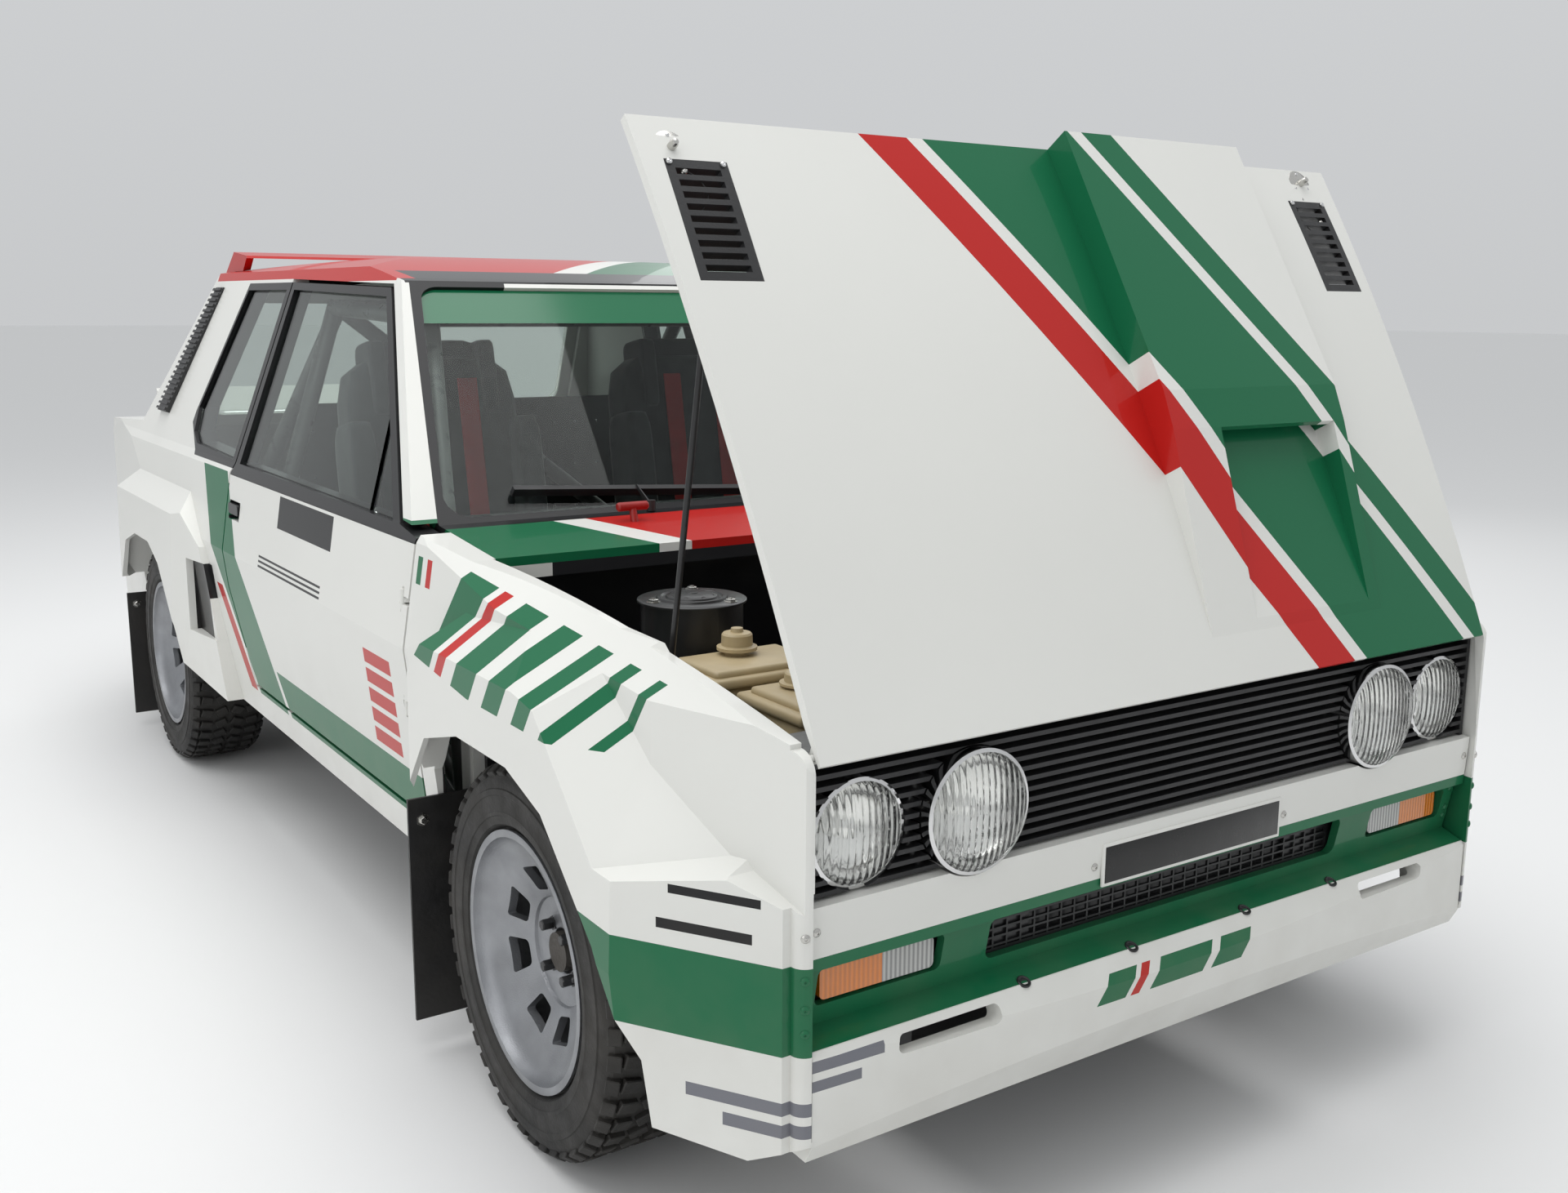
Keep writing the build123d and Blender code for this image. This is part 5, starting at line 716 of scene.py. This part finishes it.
# %% Cast wheels
WHEEL_FACE = [
    (0.186, 0.070), (0.192, 0.086), (0.2055, 0.090), (0.206, 0.0965), (0.203, 0.0975), (0.194, 0.0962),
    (0.1915, 0.088), (0.186, 0.079), (0.176, 0.072), (0.148, 0.060), (0.118, 0.0465), (0.092, 0.0365),
    (0.0885, 0.034), (0.0865, 0.029), (0.080, 0.0268), (0.040, 0.026), (0.0365, 0.024), (0.034, 0.012),
    (0.0006, 0.011),
]
WHEEL_BACK = [
    (0.0006, -0.020), (0.060, -0.010), (0.092, 0.018), (0.148, 0.046), (0.178, 0.058), (0.178, -0.086),
    (0.190, -0.0975), (0.206, -0.0965), (0.206, -0.090), (0.192, -0.086), (0.186, -0.070), (0.186, 0.070),
]
DISC = [
    (0.118, -0.048), (0.118, -0.030), (0.060, -0.030), (0.058, -0.022), (0.0006, -0.022), (0.0006, -0.048),
    (0.118, -0.048),
]
CENTRE_CAP = [(0.033, 0.012), (0.032, 0.017), (0.024, 0.019), (0.020, 0.015), (0.0005, 0.014)]
SLOT_MIDDLE = 0.120
SLOT_ANGLES = [quarter + offset for quarter in (0, 90, 180, 270) for offset in (-20, 20)]


def weld(piece):
    """Close a lathe shape where its last ring meets its first."""
    only(piece)
    edit_all()
    bpy.ops.mesh.remove_doubles(threshold=TOUCHING)
    bpy.ops.mesh.normals_make_consistent(inside=False)
    leave_edit()


def slot_cutter(hub, angle):
    """A tapered block that points outward from the axle."""
    start()
    bpy.ops.mesh.primitive_cone_add(
        vertices=4, radius1=0.0285, radius2=0.0435, depth=0.040, rotation=(0, 0, radians(45))
    )
    bpy.ops.object.transform_apply(rotation=True)
    edit_all()
    bpy.ops.transform.resize(value=(1, 4, 1))
    bpy.ops.mesh.bevel(offset=0.006, segments=3, affect="EDGES")
    cutter = leave_edit()
    cutter.rotation_euler = (0, radians(90 - angle), 0)
    cutter.location = Vector(hub) + SLOT_MIDDLE * Vector((cos(radians(angle)), 0, sin(radians(angle))))
    bpy.ops.object.transform_apply(location=True, rotation=True)
    return cutter


for axle in WHEELS:
    corner, hub, _ = axle
    wheel = round_axle("cast_wheel_" + corner, cast_alloy, axle, WHEEL_FACE + WHEEL_BACK, 72)
    weld(wheel)
    cutters = [slot_cutter(hub, angle) for angle in SLOT_ANGLES]
    start()
    for cutter in cutters:
        cutter.select_set(True)
    bpy.context.view_layer.objects.active = cutters[0]
    bpy.ops.object.join()
    cutter = bpy.context.active_object
    slots = wheel.modifiers.new("slots", "BOOLEAN")
    slots.object = cutter
    slots.operation = "DIFFERENCE"
    only(wheel)
    bpy.ops.object.modifier_apply(modifier="slots")
    bpy.data.objects.remove(cutter)
    bpy.ops.object.shade_smooth_by_angle(angle=radians(32))
    disc = round_axle("disc", bare_steel, axle, DISC, 48)
    cap = round_axle("cap", black_metal, axle, CENTRE_CAP, 32)
    wheel = joined("cast_wheel_" + corner, [wheel, disc, cap])
    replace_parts(wheel, "rim_" + corner)
print("wheel faces", len(wheel.data.polygons))

# %% [markdown]
# ## Wheel nuts and valve
# Four dark nuts stand round the centre of each cast wheel, and a valve sits near its rim.

# %% Wheel nuts and valve
NUT_CIRCLE, NUT_FOOT = 0.049, 0.024
NUT = [(0.0125, 0.0), (0.0125, 0.003), (0.0095, 0.004), (0.0095, 0.020), (0.0075, 0.0225), (0.0004, 0.0225)]
VALVE = [(0.0045, 0), (0.0045, 0.02), (0.0035, 0.022), (0.0003, 0.022)]
for corner, (x, y, z), outward in WHEELS:
    body = corner + "_wheel"
    nuts = []
    for a in angles_round(4, 45):
        spot = (x + NUT_CIRCLE * cos(a), y + outward * NUT_FOOT, z + NUT_CIRCLE * sin(a))
        nuts.append(turned("nut", black_metal, body, spot, (0, outward, 0), NUT, 6))
    spot = (x + 0.168, y + outward * 0.066, z + 0.03)
    nuts.append(turned("valve", black_metal, body, spot, (-0.35, outward, 0), VALVE, 10))
    joined("wheel_nuts_" + corner, nuts)
print("nuts on each wheel", len(nuts) - 1)

# %% [markdown]
# ## Headlamps
# A sealed lamp is a polished bowl behind a domed, fluted glass in a thin bright ring. The
# flutes are vertical prisms, so a wave relief on clear glass gives them, with a wider one
# across, and the bowl mirrors the studio through it. The bulb cover is a small bright cap on the axis.

# %% Headlamps
LAMPS = [(0.611, 0.073, 0.012), (0.429, 0.086, 0.034)]  # distance across, radius, how far it stands out
LAMP_FACE, LAMP_HEIGHT = 2.026, 0.666
BOWL_DEPTH, DOME_RISE = 0.052, 0.0155
DOME_ANGLES = (75, 60, 45, 30, 15, 4)


def waves(tree, place, direction, scale):
    """Even ribs that follow each other along one axis."""
    wave = add_node(tree, "ShaderNodeTexWave", place, bands_direction=direction)
    wave.inputs["Scale"].default_value = scale
    return wave.outputs["Fac"]


def arc(radius, level, rise, angles):
    """Profile points of a dome, at angles from its axis."""
    return [(radius * sin(radians(a)), level + rise * cos(radians(a))) for a in angles]


lamp_bowl = plain("lamp_bowl", (0.86, 0.86, 0.85), 0.10, 60.0, 0.05, metallic=1.0, spread=0.93)
fluted, flute_tree, flute_shader = new_finish(
    "fluted_glass", roughness=0.03, ior=1.42, transmission_weight=1.0, base_color=(0.97, 0.975, 0.96, 1)
)
flute_place = object_place(flute_tree)
flutes = [waves(flute_tree, flute_place, direction, scale) for direction, scale in (("Y", 30.0), ("Z", 9.0))]
add_bump(flute_tree, flute_shader, maths(flute_tree, "ADD", *flutes), 0.55, 0.003)
show(flute_tree, pass_shadows(flute_tree, flute_shader.outputs[0], (0.95, 0.95, 0.95)))
lamp_pieces = []
for across, radius, proud in LAMPS:
    edge = proud - 0.016
    inner, reach = radius - 0.004, radius - 0.005
    bowl = [
        (inner, edge - 0.001), *arc(inner, edge - 0.001, -BOWL_DEPTH, (80, 65, 50, 35, 20)),
        (0.016, edge - 0.054), (0.014, edge - 0.022), (0.0005, edge - 0.016),
    ]
    ring = [
        (radius * 0.5, -0.056), (radius - 0.001, -0.028), (radius - 0.001, edge - 0.003),
        (radius, edge - 0.002), (radius, edge + 0.001), (reach, edge + 0.003), (radius - 0.006, edge),
    ]
    dome = [
        (reach, edge + 0.0005), *arc(reach, edge, DOME_RISE, DOME_ANGLES),
        (0.0006, edge + 0.0156), (0.0006, edge + 0.0126),
        *arc(reach - 0.002, edge - 0.003, DOME_RISE, DOME_ANGLES[::-1]), (reach - 0.002, edge - 0.001),
    ]
    for side in (-1, 1):
        spot = (LAMP_FACE, side * across, LAMP_HEIGHT)
        lamp_pieces.append(turned("bowl", lamp_bowl, "chassis", spot, AHEAD, bowl, 40))
        lamp_pieces.append(turned("ring", bright_metal, "chassis", spot, AHEAD, ring, 48))
        lamp_pieces.append(turned("dome", fluted, "chassis", spot, AHEAD, dome, 48))
lamps = joined("lamps", lamp_pieces)
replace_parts(lamps, "headlamps")
print("lamp faces", len(lamps.data.polygons))

# %% [markdown]
# ## Engine bay
# The bay shows two moulded tanks with overhanging lids and skirted caps, and on each strut
# tower a black plate with three studs round a domed cap that has a row of holes.

# %% Engine bay caps and tanks
TANK_FOOT, LID_DEPTH = 0.7003, 0.02
CAP_PROFILE = [
    (0.020, 0.0), (0.020, 0.010), (0.031, 0.011), (0.031, 0.016), (0.024, 0.018), (0.0235, 0.034),
    (0.021, 0.037), (0.010, 0.038), (0.009, 0.044), (0.0004, 0.045),
]
STRUT_X, STRUT_Y = 1.42, 0.5
STUD_CIRCLE, HOLE_CIRCLE = 0.070, 0.037
PLATE_Z, STUD_Z, HOLE_Z = 0.8515, 0.8555, 0.8598
STRUT_PLATE = [
    (0.088, 0.0), (0.088, 0.003), (0.086, 0.0042), (0.058, 0.0045), (0.056, 0.0075), (0.051, 0.0078),
    (0.048, 0.0055), (0.043, 0.0055), (0.041, 0.0085), (0.034, 0.0108), (0.022, 0.0118), (0.010, 0.0120),
    (0.0090, 0.0132), (0.0004, 0.0134),
]
STUD = [
    (0.0125, 0), (0.0125, 0.0012), (0.0088, 0.0014), (0.0088, 0.0046), (0.0070, 0.0052), (0.0040, 0.0053),
    (0.0038, 0.0068), (0.0004, 0.0070),
]
HOLE = [(0.0040, 0), (0.0038, 0.0016), (0.0026, 0.0012), (0.0003, 0.0010)]


def tank(name, x, y, top, long, wide, cap_x, cap_rise=1.0):
    """A moulded tank: a rounded box, a lid that overhangs, a cap with a skirt and a neck."""
    under_lid = top - LID_DEPTH
    middle = (x, y, (TANK_FOOT + under_lid) / 2)
    cap = [(radius, rise * cap_rise) for radius, rise in CAP_PROFILE]
    moulded = (name, tank_plastic, "chassis")
    parts = [
        block(*moulded, middle, (long - 0.012, wide - 0.012, under_lid - TANK_FOOT), 0.02, 4),
        block(*moulded, (x, y, top - 0.015), (long, wide, 0.016), 0.0065, 3),
        block(*moulded, (x, y, top - 0.005), (long - 0.03, wide - 0.03, 0.014), 0.006, 3),
        turned(*moulded, (cap_x, y, top - 0.002), UP, cap, 20),
    ]
    return joined(name, parts)


tank_a = tank("rear_tank", 1.612, -0.516, 0.796, 0.150, 0.210, 1.582)
tank_b = tank("front_tank", 1.786, -0.520, 0.784, 0.165, 0.150, 1.76, cap_rise=0.7)
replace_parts(joined("tanks", [tank_a, tank_b]), "fluid_tanks")
nickel = plain("nickel", (0.60, 0.59, 0.56), 0.25, 300.0, 0.05, metallic=1.0, spread=0.9)
for tag, side in SIDES:
    y = side * STRUT_Y
    top = [turned("plate", black_metal, "chassis", (STRUT_X, y, PLATE_Z), UP, STRUT_PLATE, 40)]
    for a in angles_round(3, 30):
        spot = (STRUT_X + STUD_CIRCLE * cos(a), y + STUD_CIRCLE * sin(a), STUD_Z)
        top.append(turned("nut", nickel, "chassis", spot, UP, STUD, 6))
    for a in angles_round(8):
        spot = (STRUT_X + HOLE_CIRCLE * cos(a), y + HOLE_CIRCLE * sin(a), HOLE_Z)
        top.append(turned("hole", soft_rubber, "chassis", spot, (cos(a), sin(a), 2.2), HOLE, 10))
    joined("strut_cap_" + tag, top)
print("bay pieces done")

# %% [markdown]
# ## Number plate and nose screws
# The plate is left blank. Small domed screws hold the nose panels together.

# %% Nose details
PLATE_HEIGHT = 0.5395
SCREW = [
    (0.0062, 0), (0.0060, 0.0018), (0.0042, 0.0034), (0.0018, 0.0040), (0.0016, 0.0030), (0.0002, 0.0030),
]
SCREW_SUNK = 0.0008
BAND_TOP = 0.53
NOSE_SCREWS = [
    # forward, out from the middle, height, and the way the head faces on the left
    (2.0390, 0.684, 0.556, (1, 0, -0.06)),
    (2.0190, 0.684, 0.492, (1, 0, -0.3)),
    (2.0125, 0.684, 0.456, (1, 0, -0.3)),
    (2.0090, 0.684, 0.440, (1, 0, -0.3)),
    (2.0380, 0.2055, 0.540, (1, 0, -0.06)),
    *[(2.0470, 0.7055, z, (1, 0.5, 0)) for z in (0.556, 0.500, 0.462, 0.430)],
]
plate_black = plain("plate_black", (0.010, 0.010, 0.010), 0.3, 200.0, 0.04)
plate = [
    block("plate_edge", white_paint, "chassis", (2.0400, 0, PLATE_HEIGHT), (0.004, 0.386, 0.064), 0.0012),
    block("plate_face", plate_black, "chassis", (2.0412, 0, PLATE_HEIGHT), (0.0032, 0.376, 0.054), 0.0008),
]
joined("blank_plate", plate)
screws = []
for side in (-1, 1):
    for x, y, z, (ahead, out, up) in NOSE_SCREWS:
        spot = (x - SCREW_SUNK, side * y, z)
        head = nickel if z > BAND_TOP else green_paint
        screws.append(turned("screw", head, "chassis", spot, (ahead, side * out, up), SCREW, 14))
joined("nose_screws", screws)
print("nose screws", len(screws))

# %% [markdown]
# ## Side lamps
# One lens, two colours: amber outside and pale inside, both ribbed. Light and shade along the ribs are
# painted into each colour as light and dark bands.

# %% Side lamps
AMBER_FROM = 0.557
side_lamp, lamp_tree, lamp_shader = new_finish("side_lamp", roughness=0.16, coat_weight=1.0)
lamp_place = object_place(lamp_tree, mirrored=True)
ribs = waves(lamp_tree, lamp_place, "Y", 42.0)
# Painted light and shade: each lens colour turns light and dark along the ribs.
pale = mix_colours(lamp_tree, ribs, (0.50, 0.50, 0.48), (0.20, 0.20, 0.20))
amber = mix_colours(lamp_tree, ribs, (0.74, 0.20, 0.006), (0.55, 0.15, 0.008))
lamp_colour = mix_colours(lamp_tree, slab(lamp_tree, lamp_place, SIDEWAYS, AMBER_FROM, 1.0), pale, amber)
lamp_tree.links.new(lamp_colour, lamp_shader.inputs["Base Color"])
add_bump(lamp_tree, lamp_shader, ribs, 0.4, 0.0015)
wear(side_lamp, "indicator_lamps")
print("side lamps turn amber at", AMBER_FROM)

# %% [markdown]
# ## Bonnet pins
# Two pins hold the bonnet on the road. Each stands in a round plate with three screws. They
# are placed by their distance from the bonnet's front edge, so they lie on its slanted skin.

# %% Bonnet pins
SKIN_TOP = 0.0119
PINS = (("right", -1, 0.846, -0.666), ("left", 1, 0.866, 0.643))
PIN_PLATE = [
    (0.027, 0), (0.027, 0.0012), (0.0255, 0.0022), (0.008, 0.0024), (0.0078, 0.0010), (0.0004, 0.0008),
]
PIN = [(0.0062, 0), (0.0062, 0.012), (0.0045, 0.0175), (0.0004, 0.0182)]
PIN_SCREW, PIN_SCREW_CIRCLE = [(0.0032, 0), (0.0028, 0.0012), (0.0004, 0.0018)], 0.0195


def at_bonnet(distance, y, height):
    """A point on the open bonnet: metres back from its front edge, across, and above its skin."""
    edge = Vector((BONNET_HINGE.x, y, BONNET_HINGE.z))
    return edge + ALONG_BONNET * (distance - FRONT_OVERHANG) + BONNET_OUT * (SKIN_TOP + height)


def on_bonnet(name, material, place, profile, steps):
    """A lathe shape that stands out from the bonnet."""
    return turned(name, material, "bonnet_panel", place, BONNET_OUT, profile, steps)


for tag, side, distance, y in PINS:
    pin_parts = [
        on_bonnet("plate", nickel, at_bonnet(distance, y, 0.0003), PIN_PLATE, 36),
        on_bonnet("pin", nickel, at_bonnet(distance, y, 0.0012), PIN, 16),
    ]
    for a in angles_round(3, 90):
        spot = at_bonnet(distance + PIN_SCREW_CIRCLE * sin(a), y + PIN_SCREW_CIRCLE * cos(a), 0.0022)
        pin_parts.append(on_bonnet("screw", bright_metal, spot, PIN_SCREW, 10))
    joined("bonnet_pin_" + tag, pin_parts)
print("bonnet pins", len(PINS))

# %% [markdown]
# ## Wires of the bonnet pins
# A thin coated wire lies beside each pin, with a rivet at both ends. These two are the only
# loose cords on the car, so their length is printed. The route is drawn in the plane of the
# bonnet's skin and then smoothed.

# %% Pin wires
WIRE_ROUTE = [
    (0.0, 0.0), (0.012, 0.018), (0.034, 0.026), (0.055, 0.014), (0.070, -0.006), (0.064, -0.024),
    (0.044, -0.030),
]
WIRE_START, WIRE_ASIDE, WIRE_LIFT = 0.034, 0.012, 0.0032
WIRE_DIAMETER = 0.0016
RIVET = [(0.0045, 0), (0.0042, 0.0036), (0.0028, 0.0052), (0.0004, 0.0056)]
STEPS_BETWEEN = 6


def route_length(points):
    """The length of a line through points."""
    return sum((b - a).length for a, b in zip(points, points[1:]))


for tag, side, distance, y in PINS:
    corners = [
        at_bonnet(distance - WIRE_START - along, y - side * (WIRE_ASIDE + out), WIRE_LIFT)
        for along, out in WIRE_ROUTE
    ]
    line = []
    for index in range(len(corners) - 1):
        before = corners[max(index - 1, 0)]
        here, there = corners[index], corners[index + 1]
        after = corners[min(index + 2, len(corners) - 1)]
        for step in range(STEPS_BETWEEN):
            t = step / STEPS_BETWEEN
            square, cube = 2 * before - 5 * here + 4 * there - after, 3 * here - before - 3 * there + after
            line.append(0.5 * (2 * here + (there - before) * t + square * t ** 2 + cube * t ** 3))
    line.append(corners[-1])
    curve = bpy.data.curves.new("pin_wire_" + tag, "CURVE")
    curve.dimensions = "3D"
    curve.bevel_depth = WIRE_DIAMETER / 2
    curve.bevel_resolution = 2
    track = curve.splines.new("POLY")
    track.points.add(len(line) - 1)
    for point, place in zip(track.points, line):
        point.co = (*place, 1.0)
    wire = bpy.data.objects.new("pin_wire_" + tag, curve)
    bpy.context.scene.collection.objects.link(wire)
    curve.materials.append(soft_rubber)
    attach(wire, "bonnet_panel")
    ends = [on_bonnet("rivet", nickel, end - BONNET_OUT * 0.003, RIVET, 12) for end in (line[0], line[-1])]
    joined("wire_ends_" + tag, ends)
    print("pin wire", tag, round(route_length(line), 4))

# %% [markdown]
# ## Small hardware
# A few small things finish the look: dished fasteners on the lip, a red pull handle on the
# scuttle, screws round the bonnet vents, bolts on the mudflaps, a blank rear plate with two
# lamps, a lock in the boot lid, and a black panel with rows of studs behind the seats.

# %% Small hardware
FASTENER = [
    (0.0105, 0), (0.0105, 0.0018), (0.0090, 0.0026), (0.0062, 0.0022), (0.0056, 0.0008), (0.0004, 0.0006),
]
HANDLE_STEM = [(0.017, 0), (0.016, 0.004), (0.0075, 0.006), (0.0070, 0.040), (0.0085, 0.042), (0.0004, 0.043)]
HANDLE_GRIP = [(0.0004, 0), (0.006, 0.001), (0.0085, 0.004), (0.0085, 0.062), (0.006, 0.065), (0.0004, 0.066)]
VENT_SCREW = [(0.0045, 0), (0.0040, 0.0018), (0.0014, 0.0026), (0.0004, 0.0020)]
BOLT = [(0.0125, 0), (0.0125, 0.0012), (0.0075, 0.0014), (0.0075, 0.0065), (0.0060, 0.0075), (0.0004, 0.0076)]
PLATE_LAMP = [(0.018, 0), (0.018, 0.006), (0.015, 0.010), (0.0004, 0.011)]
LOCK = [(0.014, 0), (0.014, 0.002), (0.012, 0.0036), (0.007, 0.0030), (0.0065, 0.0018), (0.0004, 0.0016)]
PANEL_STUD = [(0.005, 0), (0.004, 0.0015), (0.0004, 0.002)]
REARWARD = (-1, 0, 0)


def on_chassis(name, material, place, direction, profile, steps):
    """A lathe shape that the car's body carries."""
    return turned(name, material, "chassis", place, direction, profile, steps)


joined("lip_fasteners", [
    on_chassis("fastener", black_metal, (2.0400, y, 0.4005), (0.43, 0, 0.9), FASTENER, 20)
    for y in (-0.335, -0.124, 0.124, 0.335)
])
joined("pull_handle", [
    on_chassis("handle", red_leaf, (0.990, -0.372, 0.900), (-0.25, 0, 1), HANDLE_STEM, 16),
    on_chassis("handle", red_leaf, (0.979, -0.405, 0.944), SIDEWAYS, HANDLE_GRIP, 14),
])
joined("vent_screws", [
    on_bonnet("screw", bright_metal, at_bonnet(distance, side * y, height), VENT_SCREW, 12)
    for side in (-1, 1) for distance, height in ((0.662, 0.0122), (0.822, 0.0072)) for y in (0.594, 0.677)
])
joined("flap_bolts", [
    on_chassis("bolt", nickel, (x, side * y, z), AHEAD, BOLT, 6)
    for side in (-1, 1) for x, z in ((1.034, 0.430), (-1.440, 0.395)) for y in (0.640, 0.820)
])
joined("rear_plate", [
    block("plate", plate_black, "chassis", (-2.0525, 0, 0.665), (0.004, 0.486, 0.116), 0.0012),
    block("plate", white_paint, "chassis", (-2.0540, 0, 0.665), (0.004, 0.474, 0.104), 0.0010),
    *[on_chassis("lamp", black_metal, (-2.050, y, 0.745), REARWARD, PLATE_LAMP, 20) for y in (-0.12, 0.12)],
])
turned("boot_lock", nickel, "boot", (-2.004, 0, 0.935), REARWARD, LOCK, 24)
rear_panel = [
    block("rear_screen_panel", black_metal, "chassis", (-0.62, 0, 0.845), (0.006, 1.06, 0.40), 0.002),
]
for row in range(3):
    for column in range(15):
        spot = (-0.617, -0.49 + 0.07 * column, 0.72 + 0.125 * row)
        rear_panel.append(on_chassis("stud", bright_metal, spot, AHEAD, PANEL_STUD, 8))
joined("rear_panel", rear_panel)
print("studs behind the seats", len(rear_panel) - 1)

# %% [markdown]
# ## Seats and belts
# The bucket seats are seen through the glass. Each is a padded shell with side wings and a
# headrest in dark woven cloth, and flat red belts lie on the backrest and the cushion.

# %% Seats and belts
BACK_LEAN = radians(-10)
SEAT_Y, WING_Y, HEAD_WING_Y = 0.36, 0.205, 0.135
seat_cloth, cloth_tree, cloth_shader = new_finish("seat_cloth", roughness=0.85, sheen_weight=0.3)
cloth_place = object_place(cloth_tree)
weave = grain(cloth_tree, cloth_place, 25.0)
cloth_colour = mix_colours(cloth_tree, weave, (0.022, 0.022, 0.026), (0.045, 0.045, 0.05))
cloth_tree.links.new(cloth_colour, cloth_shader.inputs["Base Color"])
add_bump(cloth_tree, cloth_shader, grain(cloth_tree, cloth_place, 700.0), 0.25, 0.0006)
belt_web = plain("belt_web", (0.42, 0.015, 0.015), 0.7, 900.0, 0.3)


def padding(name, place, size, lean=0):
    """A cushion: a box with soft edges and slightly uneven faces."""
    start()
    bpy.ops.mesh.primitive_cube_add(size=1, location=place, rotation=(0, lean, 0), scale=size)
    bpy.ops.object.transform_apply(location=False, rotation=False, scale=True)
    edit_all()
    bpy.ops.mesh.subdivide(number_cuts=3)
    bpy.ops.mesh.select_all(action="SELECT")
    bpy.ops.transform.vertex_random(offset=0.0012, seed=3)
    softened = leave_edit().modifiers.new("soft", "SUBSURF")
    softened.levels = 1
    bpy.ops.object.modifier_apply(modifier="soft")
    return settle(name, seat_cloth, "chassis", smooth=60)


seat_parts = []
for tag, side in SIDES:
    y = SEAT_Y * side
    shell = [
        padding("cushion", (0.19, y, 0.44), (0.46, 0.42, 0.14)),
        padding("back", (-0.055, y, 0.80), (0.13, 0.42, 0.76), BACK_LEAN),
        padding("headrest", (-0.125, y, 1.12), (0.10, 0.26, 0.20), BACK_LEAN),
    ]
    for edge in (-1, 1):
        shell += [
            padding("cushion_wing", (0.21, y + edge * WING_Y, 0.475), (0.40, 0.07, 0.13)),
            padding("back_wing", (0.01, y + edge * WING_Y, 0.76), (0.15, 0.06, 0.56), BACK_LEAN),
            padding("head_wing", (-0.095, y + edge * HEAD_WING_Y, 1.13), (0.12, 0.04, 0.18), BACK_LEAN),
        ]
    seat_parts.append(joined("padded_seat_" + tag, shell))
    for edge in (-1, 1):
        block("belt_" + tag, belt_web, "chassis", (0.021, y + edge * 0.075, 0.81), (0.004, 0.05, 0.66),
              0.0012, 1, turn=(0, BACK_LEAN, 0))
        block("lap_belt_" + tag, belt_web, "chassis", (0.15, y + edge * 0.10, 0.523), (0.05, 0.15, 0.004),
              0.0012, 1, turn=(radians(-8 * edge), 0, radians(22 * edge)))
seats = joined("padded_seats", seat_parts)
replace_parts(seats, "bucket_seats")
print("seat faces", len(seats.data.polygons))

# %% [markdown]
# ## Floor and light
# The object stands on a pale floor under soft studio light: one broad lamp above, one at the
# camera's side and one behind, and a pale world that glossy paint can mirror.


# %% Floor and light
def area_light(name, place, target, size, power):
    """A square lamp that looks at a point."""
    data = bpy.data.lights.new(name, "AREA")
    data.size = size
    data.energy = power
    lamp = bpy.data.objects.new(name, data)
    lamp.location = place
    lamp.rotation_euler = (Vector(target) - Vector(place)).to_track_quat("-Z", "Y").to_euler()
    bpy.context.scene.collection.objects.link(lamp)


start()
bpy.ops.mesh.primitive_plane_add(size=160, location=(0, 0, 0))
floor = bpy.context.active_object
floor.name = "floor"
floor_finish = new_finish("floor_finish", roughness=0.8, base_color=(0.80, 0.80, 0.795, 1))[0]
floor.data.materials.append(floor_finish)
area_light("top_light", (0.5, -1.0, 5.5), (0.2, 0, 0.6), 6.0, 230)
area_light("side_light", (3.5, -5.5, 3.0), (0.5, 0, 0.7), 4.0, 44)
area_light("far_light", (-4.0, 4.5, 3.5), (0, 0, 0.8), 4.0, 55)
world = bpy.data.worlds.new("studio")
bpy.context.scene.world = world
world.use_nodes = True
sky_tree = world.node_tree
sky = sky_tree.nodes["Background"]
sky_place = add_node(sky_tree, "ShaderNodeTexCoord").outputs["Generated"]
sky_height = add_node(sky_tree, "ShaderNodeSeparateXYZ", sky_place).outputs["Z"]
sky_share = remap(sky_tree, sky_height, 0.0, 0.5, 0.0, 1.0)
sky_colour = mix_colours(sky_tree, sky_share, (0.80, 0.815, 0.83), (0.93, 0.95, 0.97))
sky_tree.links.new(sky_colour, sky.inputs["Color"])
sky.inputs["Strength"].default_value = 0.72
bpy.context.scene.view_settings.view_transform = "Standard"
print("floor and light ready")
